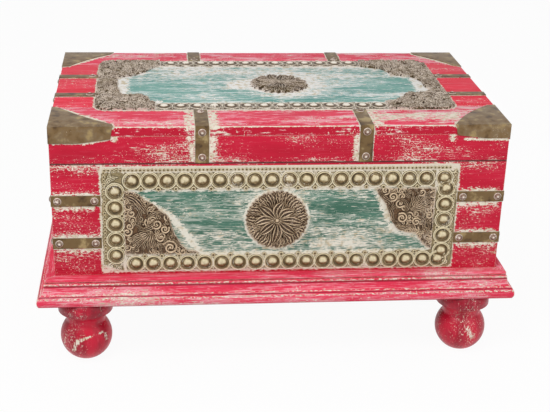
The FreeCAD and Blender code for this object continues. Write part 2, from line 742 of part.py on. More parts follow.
def make_rosette(body, outer_count, inner_count):
    """Two rings of ridged leaves round a dome, on a disc."""
    disc_sketch = disc(new_sketch(body, "disc_outline", "XY_Plane"), "Sizes.rosette_disc_radius")
    pad(body, "disc", disc_sketch, "Sizes.sheet_thickness")
    outer = ridged_leaf(body, "outer_leaf", [
        ("20", "5", "Sizes.sheet_thickness + 1"),
        ("Sizes.rosette_disc_radius - 6", "8", "Sizes.sheet_thickness + 3"),
        ("Sizes.rosette_radius", "1.5", "Sizes.sheet_thickness"),
    ])
    ring_of(body, "outer_leaves", [outer], outer_count)
    inner = ridged_leaf(body, "inner_leaf", [
        ("4", "3", "Sizes.sheet_thickness + 4"),
        ("Sizes.rosette_radius * 0.4", "9", "Sizes.rosette_height * 0.8"),
        ("Sizes.rosette_radius * 0.66", "1.5", "Sizes.sheet_thickness + 2"),
    ])
    ring_of(body, "inner_leaves", [inner], inner_count)
    crown = outline(new_sketch(body, "crown_profile", "XZ_Plane"), [
        ("0", "0"),
        ("7", "0"),
        ("7", "Sizes.rosette_height * 0.75"),
        ("0", "Sizes.rosette_height", None, 1),
    ])
    revolve(body, "crown", crown)


def make_front_brass():
    """Everything embossed on the front of the body."""
    make_front_strips()
    make_front_columns()
    make_scroll_sheets()
    rosette = front_sheet(
        "front_rosette",
        "Sizes.front_rosette_shift",
        f"({FIELD_HEAD} + {FIELD_FOOT}) / 2 + Sizes.front_rosette_rise",
    )
    make_rosette(rosette, 16, 8)


# Lid: a shallow box of rails under a grooved frame and panel

def make_lid_boards():
    """The four rails, the four top boards and the top panel."""
    rail_height = (LID_UNDERSIDE, LID_BOARD_UNDERSIDE)
    whole_width = (f"-({HALF_WIDTH})", HALF_WIDTH)
    between = (f"-{INNER_HALF_DEPTH}", INNER_HALF_DEPTH)
    rails = {
        "lid_front_rail": (whole_width, (f"-{HALF_DEPTH}", f"-{INNER_HALF_DEPTH}")),
        "lid_back_rail": (whole_width, (INNER_HALF_DEPTH, HALF_DEPTH)),
        "lid_left_rail": ((f"-({HALF_WIDTH})", f"-{INNER_HALF_WIDTH}"), between),
        "lid_right_rail": ((INNER_HALF_WIDTH, HALF_WIDTH), between),
    }
    for name, (x, y) in rails.items():
        keep(name, block(name, x, y, rail_height))

    thickness = (LID_BOARD_UNDERSIDE, LID_TOP)
    groove = (
        f"{LID_TOP} - (Sizes.lid_board_thickness + Sizes.groove_width) / 2",
        f"{LID_TOP} - (Sizes.lid_board_thickness - Sizes.groove_width) / 2",
    )
    front_edge = f"(-{HALF_DEPTH} + Sizes.lid_front_board_depth)"
    back_edge = f"({HALF_DEPTH} - Sizes.lid_back_board_depth)"
    end_edge = f"({HALF_WIDTH} - Sizes.lid_end_board_width)"
    groove_front = f"({front_edge} - Sizes.groove_depth)"
    groove_back = f"({back_edge} + Sizes.groove_depth)"
    groove_end = f"({end_edge} + Sizes.groove_depth)"
    long_boards = {
        "lid_front_board": ((f"-{HALF_DEPTH}", front_edge), (groove_front, front_edge)),
        "lid_back_board": ((back_edge, HALF_DEPTH), (back_edge, groove_back)),
    }
    for name, (board_span, groove_span) in long_boards.items():
        board = block(f"{name}_board", whole_width, board_span, thickness)
        plough = block(f"{name}_groove", whole_width, groove_span, groove)
        keep(name, grooved(name, board, plough))

    tenon_span = (groove_front, groove_back)
    end_boards = {
        "lid_left_board": ((f"-({HALF_WIDTH})", f"-{end_edge}"), (f"-{groove_end}", f"-{end_edge}")),
        "lid_right_board": ((end_edge, HALF_WIDTH), (end_edge, groove_end)),
    }
    for name, (board_span, groove_span) in end_boards.items():
        board = block(f"{name}_board", board_span, (front_edge, back_edge), thickness)
        tenons = block(f"{name}_tenons", board_span, tenon_span, groove)
        plough = block(f"{name}_groove", groove_span, tenon_span, groove)
        keep(name, grooved(name, joined(f"{name}_solid", [board, tenons]), plough))

    field = block(
        "lid_panel_field",
        (f"-{end_edge}", end_edge),
        (front_edge, back_edge),
        (f"{LID_TOP} - Sizes.panel_thickness", LID_TOP),
    )
    tongues = block(
        "lid_panel_tongues",
        (f"-{end_edge} - {TONGUE}", f"{end_edge} + {TONGUE}"),
        (f"{front_edge} - {TONGUE}", f"{back_edge} + {TONGUE}"),
        groove,
    )
    keep("lid_panel", joined("lid_panel", [field, tongues]))


LID_BORDER_HALF = "(Sizes.lid_border_width / 2)"
LID_BORDER_FOOT = "Sizes.lid_border_front"
LID_BORDER_HEAD = "(Sizes.body_depth - Sizes.lid_border_back)"


def make_lid_strip(name, foot, left, right):
    """A border strip with a row of bosses along its middle, between two places along the lid."""
    body = lid_sheet(name)
    head = f"{foot} + Sizes.lid_border_strip"
    sheet = rectangle(new_sketch(body, "outline", "XY_Plane"), (left, right), (foot, head))
    pad(body, "sheet", sheet, "Sizes.sheet_thickness")
    count = f"floor((({right}) - ({left}) - 2 * Sizes.boss_ring_radius) / Sizes.lid_boss_pitch) + 1"
    first = boss(
        body,
        "boss",
        f"(({left}) + ({right})) / 2 - ({count} - 1) * Sizes.lid_boss_pitch / 2",
        f"{foot} + Sizes.lid_border_strip / 2",
    )
    row_of(body, "boss_row", [first], "X_Axis", count, "Sizes.lid_boss_pitch")


def make_lid_border():
    """The strips along the front and back of the lid's panel, and the leaf sheets that close its ends."""
    foot = LID_BORDER_FOOT
    head = LID_BORDER_HEAD
    corner = "Sizes.lid_border_corner"
    strip_head = f"{head} - Sizes.lid_border_strip"
    left_edge = f"-{LID_BORDER_HALF}"
    right_edge = LID_BORDER_HALF
    make_lid_strip("lid_border_front", foot, f"{left_edge} + 114", f"{right_edge} - 134")
    make_lid_strip("lid_border_back", strip_head, f"{left_edge} + 125", f"{right_edge} - 142")

    left = lid_sheet("lid_end_sheet_left")
    sheet = outline(new_sketch(left, "outline", "XY_Plane"), [
        (f"{left_edge} + {corner}", foot, corner, 1),
        (f"{left_edge} + 114", foot),
        (f"{left_edge} + 114", f"{foot} + Sizes.lid_border_strip"),
        (f"{left_edge} + 98", f"{foot} + 83", "120", -1),
        (f"{left_edge} + 56", f"{foot} + 87", "32", 1),
        (f"{left_edge} + 40", f"{foot} + 150", "150", -1),
        (f"{left_edge} + 40", f"{head} - 120"),
        (f"{left_edge} + 98", f"{head} - 74", "73", 1),
        (f"{left_edge} + 125", strip_head),
        (f"{left_edge} + 125", head),
        (f"{left_edge} + {corner}", head),
        (left_edge, f"{head} - {corner}", corner, 1),
        (left_edge, f"{foot} + {corner}"),
    ])
    pad(left, "sheet", sheet, "Sizes.sheet_thickness")
    fan_of_leaves(left, "front_leaf", f"{left_edge} + 20", f"{foot} + 20", (12, 42, 72), "62", "10")
    fan_of_leaves(left, "back_leaf", f"{left_edge} + 20", f"{head} - 20", (288, 318, 348), "62", "10")
    boss(left, "middle_boss", f"{left_edge} + 20", f"({foot} + {head}) / 2")
    c_scroll(left, "front_scroll", f"{left_edge} + 78", f"{foot} + 60", "15", 120)
    c_scroll(left, "front_end_scroll", f"{left_edge} + 22", f"{foot} + 108", "15", 200)
    c_scroll(left, "back_end_scroll", f"{left_edge} + 22", f"{head} - 108", "15", 160)
    c_scroll(left, "back_scroll", f"{left_edge} + 84", f"{head} - 52", "15", 240)

    right = lid_sheet("lid_end_sheet_right")
    sheet = outline(new_sketch(right, "outline", "XY_Plane"), [
        (f"{right_edge} - 134", foot),
        (f"{right_edge} - {corner}", foot),
        (right_edge, f"{foot} + {corner}", corner, 1),
        (right_edge, f"{head} - {corner}"),
        (f"{right_edge} - {corner}", head, corner, 1),
        (f"{right_edge} - 142", head),
        (f"{right_edge} - 142", strip_head),
        (f"{right_edge} - 95", f"{head} - 71", "90", 1),
        (f"{right_edge} - 34", f"{head} - 140", "110", 1),
        (f"{right_edge} - 28", f"{foot} + 122", "150", 1),
        (f"{right_edge} - 44", f"{foot} + 100"),
        (f"{right_edge} - 79", f"{foot} + 100"),
        (f"{right_edge} - 134", f"{foot} + 42", "90", -1),
    ])
    pad(right, "sheet", sheet, "Sizes.sheet_thickness")
    fan_of_leaves(right, "front_leaf", f"{right_edge} - 20", f"{foot} + 20", (108, 138, 168), "62", "10")
    fan_of_leaves(right, "back_leaf", f"{right_edge} - 20", f"{head} - 20", (192, 222, 252), "62", "10")
    boss(right, "middle_boss", f"{right_edge} - 20", f"({foot} + {head}) / 2")
    c_scroll(right, "front_scroll", f"{right_edge} - 76", f"{foot} + 72", "15", 60)
    c_scroll(right, "front_end_scroll", f"{right_edge} - 22", f"{foot} + 104", "12", 340)
    c_scroll(right, "back_end_scroll", f"{right_edge} - 19", f"{head} - 108", "14", 20)
    c_scroll(right, "back_scroll", f"{right_edge} - 84", f"{head} - 46", "15", 300)

    make_rosette(lid_sheet("lid_rosette", "Sizes.lid_rosette_shift", "Sizes.lid_rosette_setback"), 18, 9)


# Straps: flat brass bent round an edge of the chest

def bent_strap(name, place, first_way, second_way, first_length, second_length, width, piece=True):
    """A strap bent round an edge: its legs run from the edge along two ways, on the outside of the wood."""
    body = new_body(name, *place, Rotation(first_way, second_way, first_way.cross(second_way), "XYZ"), piece)
    section = outline(new_sketch(body, "section", "XY_Plane"), [
        ("0", "0"),
        ("0", second_length),
        ("-Sizes.strap_thickness", second_length),
        ("-Sizes.strap_thickness", "-Sizes.strap_thickness"),
        (first_length, "-Sizes.strap_thickness"),
        (first_length, "0"),
    ])
    pad(body, "strap", section, width, both_ways=True)
    return body


def make_body_straps():
    """Two straps round each front corner of the body, from the border to the end board."""
    front_leg = f"{HALF_WIDTH} - {BORDER_HALF} - Sizes.strap_gap"
    end_leg = "Sizes.side_strap_wrap"
    legs = {
        "left": (-1, RIGHT, BACK, front_leg, end_leg),
        "right": (1, BACK, LEFT, end_leg, front_leg),
    }
    for side_name, (side, *ways_and_lengths) in legs.items():
        straps = []
        for level, drop in (("upper", "Sizes.upper_strap_drop"), ("lower", "Sizes.lower_strap_drop")):
            place = (f"{side} * {HALF_WIDTH}", f"-{HALF_DEPTH}", f"{SEAM} - {drop}")
            name = f"{side_name}_{level}_strap"
            straps.append(bent_strap(name, place, *ways_and_lengths, "Sizes.side_strap_width", False))
        grouped(f"{side_name}_body_straps", straps)


def make_lid_straps():
    """Two straps over the lid's front edge, two over its back edge and two over each end."""
    front_leg = "Sizes.lid_border_front - Sizes.strap_gap"
    back_leg = "Sizes.lid_border_back - Sizes.strap_gap"
    end_leg = f"{HALF_WIDTH} - {LID_BORDER_HALF} - Sizes.strap_gap"
    back_wrap = "Sizes.lid_strap_back_wrap"
    down = "Sizes.lid_height"
    width = "Sizes.lid_strap_width"
    for side_name, x in (("left", "-Sizes.lid_strap_left"), ("right", "Sizes.lid_strap_right")):
        front_place = (x, f"-{HALF_DEPTH}", LID_TOP)
        bent_strap(f"lid_front_strap_{side_name}", front_place, BACK, DOWN, front_leg, down, width)
        back_place = (x, HALF_DEPTH, LID_TOP)
        bent_strap(f"lid_back_strap_{side_name}", back_place, FRONT, DOWN, back_leg, back_wrap, width)
    width = "Sizes.side_strap_width"
    for side_name, side, way in (("left", -1, RIGHT), ("right", 1, LEFT)):
        straps = []
        for end_name, setback in (("front", "Sizes.end_strap_front"), ("back", "Sizes.end_strap_back")):
            place = (f"{side} * {HALF_WIDTH}", f"-{HALF_DEPTH} + {setback}", LID_TOP)
            name = f"lid_{side_name}_{end_name}_strap"
            straps.append(bent_strap(name, place, way, DOWN, end_leg, down, width, False))
        grouped(f"lid_{side_name}_end_straps", straps)


# Corner caps: a plate on the lid's top with a flange down each face

def make_corner_cap(name, corner, angle, legs, flanges, edge):
    """One cap, drawn from its corner with its legs along X and Y and then turned to its place.

    Corner is its side and end, and edge the radius and turn of its inner edge.
    """
    side, end = corner
    first_leg, second_leg = legs
    first_flange, second_flange = flanges
    turned = Rotation(Vector(0, 0, 1), angle)
    body = new_body(name, f"{side} * {HALF_WIDTH}", f"{end} * {HALF_DEPTH}", LID_TOP, turned)
    thick = "Sizes.cap_thickness"
    top = outline(new_sketch(body, "top_outline", "XY_Plane"), [
        (f"-{thick}", f"-{thick}"),
        (first_leg, f"-{thick}"),
        (f"{first_leg} - 3", "Sizes.cap_waist"),
        ("Sizes.cap_waist", f"{second_leg} - 8", *edge),
        (f"-{thick}", second_leg),
    ])
    pad(body, "top", top, thick)
    for flange, plane, offset, leg, drop in (
        ("first_flange", "XZ_Plane", "0", first_leg, first_flange),
        ("second_flange", "YZ_Plane", f"-{thick}", second_leg, second_flange),
    ):
        shape = outline(new_sketch(body, f"{flange}_outline", plane, ("0", "0", offset)), [
            (f"-{thick}", "0"),
            (f"-{thick}", f"-{drop}"),
            (f"{leg} * 0.45", f"-{drop}"),
            (f"{leg} - 6", f"-{drop} * 0.75"),
            (f"{leg} - 2", "0"),
        ])
        pad(body, flange, shape, thick)


def make_corner_caps():
    """The four caps, each cut by hand to its own legs."""
    make_corner_cap("lid_cap_front_left", (-1, -1), 0, ("116", "116"), ("31", "28"), ("470", -1))
    make_corner_cap("lid_cap_front_right", (1, -1), 90, ("117", "105"), ("28", "26"), ("290", 1))
    make_corner_cap("lid_cap_back_right", (1, 1), 180, ("87", "109"), ("26", "26"), ("330", -1))
    make_corner_cap("lid_cap_back_left", (-1, 1), 270, ("107", "103"), ("26", "26"), ("330", -1))


# Dome nails and screw heads: one is drawn, and the rest are links to it

def make_dome(name, radius, height):
    """A domed head with its flat side at its origin, not a piece by itself."""
    body = new_body(name, piece=False)
    profile = outline(new_sketch(body, "profile", "XZ_Plane"), [
        ("0", "0"),
        (radius, "0"),
        ("0", height, None, 1),
    ])
    revolve(body, "head", profile)
    return body


def make_heads(name, head, places):
    """Copies of a head, each at (x, y, z, facing), in one node."""
    links = []
    for number, (x, y, z, facing) in enumerate(places, start=1):
        link = DOC.addObject("App::Link", f"{name}_{number}")
        link.LinkedObject = head
        link.Placement = FreeCAD.Placement(Vector(), Rotation(UP, facing))
        links.append(bind(link, x=x, y=y, z=z))
    grouped(name, links)


def make_nails():
    """The dome nails through the straps."""
    nail = make_dome("dome_nail", "Sizes.nail_radius", "Sizes.nail_dome_height")
    setback = "Sizes.nail_end_setback"
    front = f"-{HALF_DEPTH} - Sizes.strap_thickness"
    places = []
    for side, facing in ((-1, LEFT), (1, RIGHT)):
        for drop in ("Sizes.upper_strap_drop", "Sizes.lower_strap_drop"):
            height = f"{SEAM} - {drop}"
            for reach in (setback, f"{HALF_WIDTH} - {BORDER_HALF} - Sizes.strap_gap - {setback}"):
                places.append((f"{side} * ({HALF_WIDTH} - ({reach}))", front, height, FRONT))
            for reach in (setback, f"Sizes.side_strap_wrap - {setback}"):
                end_face = f"{side} * ({HALF_WIDTH} + Sizes.strap_thickness)"
                places.append((end_face, f"-{HALF_DEPTH} + {reach}", height, facing))
    make_heads("body_strap_nails", nail, places)

    top = f"{LID_TOP} + Sizes.strap_thickness"
    places = []
    for x in ("-Sizes.lid_strap_left", "Sizes.lid_strap_right"):
        for height in (f"{LID_TOP} - {setback}", f"{LID_UNDERSIDE} + {setback}"):
            places.append((x, front, height, FRONT))
        places.append((x, f"-{HALF_DEPTH} + Sizes.lid_border_front - {setback}", top, UP))
        places.append((x, f"{HALF_DEPTH} - Sizes.lid_border_back + {setback}", top, UP))
    for side, facing in ((-1, LEFT), (1, RIGHT)):
        for strap in ("Sizes.end_strap_front", "Sizes.end_strap_back"):
            y = f"-{HALF_DEPTH} + {strap}"
            places.append((f"{side} * ({LID_BORDER_HALF} + Sizes.strap_gap + {setback})", y, top, UP))
            for height in (f"{LID_TOP} - {setback}", f"{LID_UNDERSIDE} + {setback}"):
                places.append((f"{side} * ({HALF_WIDTH} + Sizes.strap_thickness)", y, height, facing))
    make_heads("lid_strap_nails", nail, places)


# Hinges: two butt hinges behind the back edge, with five knuckles each

HINGE_AXIS_Z = f"({SEAM} + Sizes.seam_gap / 2)"
HINGE_AXIS_OUT = "(Sizes.hinge_barrel_standoff + Sizes.hinge_barrel_radius)"
HINGE_PLACES = {"left": "-Sizes.lid_strap_left", "right": "Sizes.lid_strap_right"}


def make_leaf(name, x, way_along, way_up, first_knuckle, knuckle_count):
    """A hinge leaf: a plate, and every second knuckle rolled from it, bored for the pin."""
    place = (x, HALF_DEPTH, HINGE_AXIS_Z)
    body = new_body(name, *place, Rotation(way_along, way_up, way_along.cross(way_up), "XYZ"))
    half = "Sizes.hinge_width / 2"
    clear = "(Sizes.hinge_barrel_radius + 1)"
    plate_sketch = new_sketch(body, "plate_outline", "XY_Plane")
    plate = rectangle(plate_sketch, (f"-{half}", half), (clear, "Sizes.hinge_leaf_height"))
    pad(body, "plate", plate, "Sizes.hinge_leaf_thickness")
    start = f"-{half} + {first_knuckle} * Sizes.hinge_width / 5 + Sizes.hinge_knuckle_gap / 2"
    length = "Sizes.hinge_width / 5 - Sizes.hinge_knuckle_gap"
    web = rectangle(
        new_sketch(body, "web_section", "YZ_Plane", ("0", "0", start)),
        ("0", f"{clear} + 1"),
        ("0", "Sizes.hinge_leaf_thickness"),
    )
    web = pad(body, "web", web, length)
    barrel = disc(
        new_sketch(body, "barrel_section", "YZ_Plane", ("0", "0", start)),
        "Sizes.hinge_barrel_radius", "0", HINGE_AXIS_OUT,
    )
    barrel = pad(body, "barrel", barrel, length)
    row_of(body, "knuckles", [web, barrel], "X_Axis", knuckle_count, "2 * Sizes.hinge_width / 5")
    bore = disc(
        new_sketch(body, "bore_section", "YZ_Plane"),
        "Sizes.hinge_pin_radius + Sizes.hinge_bore_clearance", "0", HINGE_AXIS_OUT,
    )
    body.Tip = pocket(body, "bore", bore, "Sizes.hinge_width + 2", both_ways=True)


def make_pin(name, x):
    """A hinge pin with a head at both ends, not a piece by itself."""
    place = (x, f"{HALF_DEPTH} + {HINGE_AXIS_OUT}", HINGE_AXIS_Z)
    body = new_body(name, *place, Rotation(Vector(0, 1, 0), 90), False)
    half = "Sizes.hinge_width / 2"
    end = f"({half} + Sizes.hinge_pin_head_height)"
    profile = outline(new_sketch(body, "profile", "XZ_Plane"), [
        ("0", f"-{end}"),
        ("Sizes.hinge_pin_head_radius", f"-{end}"),
        ("Sizes.hinge_pin_head_radius", f"-{half}"),
        ("Sizes.hinge_pin_radius", f"-{half}"),
        ("Sizes.hinge_pin_radius", half),
        ("Sizes.hinge_pin_head_radius", half),
        ("Sizes.hinge_pin_head_radius", end),
        ("0", end),
    ])
    revolve(body, "pin", profile)
    return body


def make_hinges():
    """Leaves, pins and screw heads of both hinges."""
    for side, x in HINGE_PLACES.items():
        make_leaf(f"hinge_{side}_body_leaf", x, RIGHT, DOWN, 0, "3")
        make_leaf(f"hinge_{side}_lid_leaf", x, LEFT, UP, 1, "2")
    grouped("hinge_pins", [make_pin(f"hinge_{side}_pin", x) for side, x in HINGE_PLACES.items()])
    screw = make_dome("screw_head", "Sizes.hinge_screw_radius", "Sizes.hinge_screw_height")
    behind = f"{HALF_DEPTH} + Sizes.hinge_leaf_thickness"
    for owner, way in (("body", -1), ("lid", 1)):
        places = []
        for x in HINGE_PLACES.values():
            for across, up in (("-0.32", "0.45"), ("0.32", "0.45"), ("0", "0.8")):
                place_x = f"{x} + {across} * Sizes.hinge_width"
                place_z = f"{HINGE_AXIS_Z} + {way} * {up} * Sizes.hinge_leaf_height"
                places.append((place_x, behind, place_z, BACK))
        make_heads(f"hinge_{owner}_screws", screw, places)


def write_pieces():
    """Check every object and write each piece to its own file."""
    DOC.recompute()
    for item in DOC.Objects:
        if "Invalid" in item.State or "Error" in item.State:
            raise ValueError(f"{item.Label} did not build: {item.State}")
    os.makedirs("parts", exist_ok=True)
    for name, item in PIECES.items():
        if item.Shape.isNull() or not item.Shape.isValid():
            raise ValueError(f"{name} has no valid shape")
        item.Shape.exportStep(f"parts/{name}.step")
        print(f"{name}: {len(item.Shape.Solids)} solid(s), {item.Shape.Volume:.0f} mm3")


make_carcass()
make_plinth()
make_feet()
make_front_brass()
make_lid_boards()
make_lid_border()
make_body_straps()
make_lid_straps()
make_corner_caps()
make_nails()
make_hinges()
write_pieces()
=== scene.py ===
"""A painted wooden chest trimmed with embossed brass, dressed over its solids for the render."""
import sys

import json
import logging
import math
from dataclasses import dataclass
from enum import Enum
from typing import Any, Callable, Optional, Sequence

import bmesh
import bpy
import numpy as np
from mathutils import Matrix, Vector

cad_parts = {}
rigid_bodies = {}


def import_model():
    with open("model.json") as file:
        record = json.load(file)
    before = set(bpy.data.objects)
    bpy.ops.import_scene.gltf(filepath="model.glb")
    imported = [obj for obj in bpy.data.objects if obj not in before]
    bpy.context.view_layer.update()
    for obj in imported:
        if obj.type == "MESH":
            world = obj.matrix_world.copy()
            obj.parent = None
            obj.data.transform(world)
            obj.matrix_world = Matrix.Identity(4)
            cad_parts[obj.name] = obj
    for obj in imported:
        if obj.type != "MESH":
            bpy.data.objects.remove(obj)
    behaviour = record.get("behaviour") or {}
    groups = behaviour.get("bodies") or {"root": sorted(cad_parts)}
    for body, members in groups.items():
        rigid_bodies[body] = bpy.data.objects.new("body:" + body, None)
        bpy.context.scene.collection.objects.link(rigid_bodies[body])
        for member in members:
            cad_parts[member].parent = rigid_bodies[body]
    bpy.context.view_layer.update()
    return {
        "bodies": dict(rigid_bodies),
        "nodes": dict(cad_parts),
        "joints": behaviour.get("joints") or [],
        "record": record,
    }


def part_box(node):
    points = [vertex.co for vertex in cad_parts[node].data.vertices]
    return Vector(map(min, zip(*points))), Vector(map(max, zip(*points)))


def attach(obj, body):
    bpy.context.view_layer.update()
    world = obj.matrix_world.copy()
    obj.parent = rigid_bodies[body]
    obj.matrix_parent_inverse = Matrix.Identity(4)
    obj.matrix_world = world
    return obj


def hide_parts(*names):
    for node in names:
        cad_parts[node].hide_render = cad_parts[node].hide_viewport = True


LOG = logging.getLogger("chest")

MM = 0.001
PLINTH_FOOT = 130.0
FRONT_FACE = -245.0
LID_TOP = 475.6
SHEET = 1.0
SAME_PLACE = 0.000002
FLAT_WITHIN = 0.6
SHARP_FROM = 34.0

# A leaf's section, from its rib at 0 out to its edge at 1, and how deep its lobes are cut.
RIM_AT = 0.78
RIM_WIDTH = 0.17
RIM_RISE = 0.45
RIB_WIDTH = 0.2
RIB_RISE = 0.5
EDGE_WIDTH = 0.14
LOBE_DEPTH = 0.28

# How small ornament is shared out: scrolls up to the first number, leaves up to the second, then buttons.
SCROLLS_TO = 0.5
LEAVES_TO = 0.88
TAKEN_FROM = 0.35

# A sheet's thinnest place, how far its rim reaches in, and what makes a place light: its curve and its height, as a
# painted highlight on crests and high places and painted shade in hollows.
THINNEST = 0.4
RIM_REACH = 3.2
EVEN_SHADE = 0.4
SHADE_BY_CURVE = 0.6
SHADE_BY_RISE = 0.22
FULL_FINE_CURVE = 0.3
FULL_WIDE_CURVE = 0.5

Point = tuple[float, float]
Place = tuple[float, float, float]
Tone = tuple[int, int, int]
Node = bpy.types.Node
Socket = bpy.types.NodeSocket
Material = bpy.types.Material
Mesh = bpy.types.Mesh
Piece = bpy.types.Object

FRONT_WAY: Place = (0.0, -1.0, 0.0)
UP_WAY: Place = (0.0, 0.0, 1.0)


class Body(Enum):
    """The two bodies that pieces ride on."""

    CHEST = "chest"
    LID = "lid"


class Grain(Enum):
    """Which way the boards and the brush marks run: 1 along that axis."""

    ALONG_WIDTH = (1, 0, 0)
    ALONG_DEPTH = (0, 1, 0)
    UPRIGHT = (0, 0, 1)


class Wear(Enum):
    """How the paint has gone near a fitting or an edge, or where painted shade is laid on it."""

    RAGGED = "ragged"
    STREAKED = "streaked"
    STAINED = "stained"


def linear(tone: Tone) -> tuple[float, float, float, float]:
    """A colour as seen on a screen, turned into the shader's linear colour.

    Args:
        tone: red, green and blue from 0 to 255.

    Returns:
        The linear colour with full alpha.
    """
    channels = [c / 255 for c in tone]
    red, green, blue = (c / 12.92 if c <= 0.04045 else ((c + 0.055) / 1.055) ** 2.4 for c in channels)
    return (red, green, blue, 1.0)


class Mask(Enum):
    """Where a value starts to show in a mask, and where the mask is full."""

    OUTSIDE = (0.1, 0.6)
    LOWER = (0.1, 1.0)
    TORN = (0.5, 0.56)
    RUBBED = (0.08, 0.13)
    BRUSHED = (0.5, 0.59)
    MOTTLED = (0.38, 0.6)
    SPOTTED = (0.46, 0.68)
    SHADE_FALLOFF = (0.2, 0.75)
    FIGURED = (0.36, 0.64)
    PORES = (0.56, 0.66)
    SHEET_EDGE = (0.05, 0.2)
    OUT_OF_HOLLOWS = (0.02, 0.48)
    CRESTS = (0.56, 0.95)
    AGED = (0.42, 0.62)


def stretch(grain: Grain, along: float, across: float) -> Place:
    """A pattern's scale per millimetre along and across the grain."""
    x, y, z = (along if axis else across for axis in grain.value)
    return (x, y, z)


class Tree:
    """A node tree, built with plain operations on values."""

    def __init__(self, tree: bpy.types.NodeTree) -> None:
        """Empties a tree.

        Args:
            tree: the tree to build in.
        """
        self.tree = tree
        tree.nodes.clear()

    def node(self, kind: str, feeds: Optional[dict[Any, Any]] = None, **settings: Any) -> Node:
        """A new node with its settings made and its inputs fed.

        Args:
            kind: the node's kind.
            feeds: an output or a plain value for each input, by its name or number.
            settings: the node's own settings by name.

        Returns:
            The node.
        """
        made = self.tree.nodes.new(kind)
        for key, setting in settings.items():
            setattr(made, key, setting)
        for key, given in (feeds or {}).items():
            if isinstance(given, Socket):
                self.tree.links.new(given, made.inputs[key])
            else:
                made.inputs[key].default_value = given
        return made

    def sum(self, operation: str, *given: Any, clamp: bool = False) -> Socket:
        """The result of a Math node with its inputs in order, held from 0 to 1 if clamp is set."""
        return self.node("ShaderNodeMath", dict(enumerate(given)), operation=operation, use_clamp=clamp).outputs[0]

    def vector(self, operation: str, *given: Any) -> Socket:
        """The result of a Vector Math node with its inputs in order."""
        made = self.node("ShaderNodeVectorMath", dict(enumerate(given)), operation=operation)
        return made.outputs["Value" if operation in ("LENGTH", "DISTANCE", "DOT_PRODUCT") else "Vector"]

    def longer(self, way: Place, factor: Any) -> Socket:
        """A vector multiplied by a number."""
        return self.node("ShaderNodeVectorMath", {0: way, "Scale": factor}, operation="SCALE").outputs["Vector"]

    def mixed(self, share: Any, first: Node, second: Node, output: str) -> None:
        """Ends the tree in a mix of two shaders, share telling how much there is of the second."""
        mix = self.node("ShaderNodeMixShader", {0: share, 1: first.outputs[0], 2: second.outputs[0]})
        self.node(output, {"Surface": mix.outputs[0]})


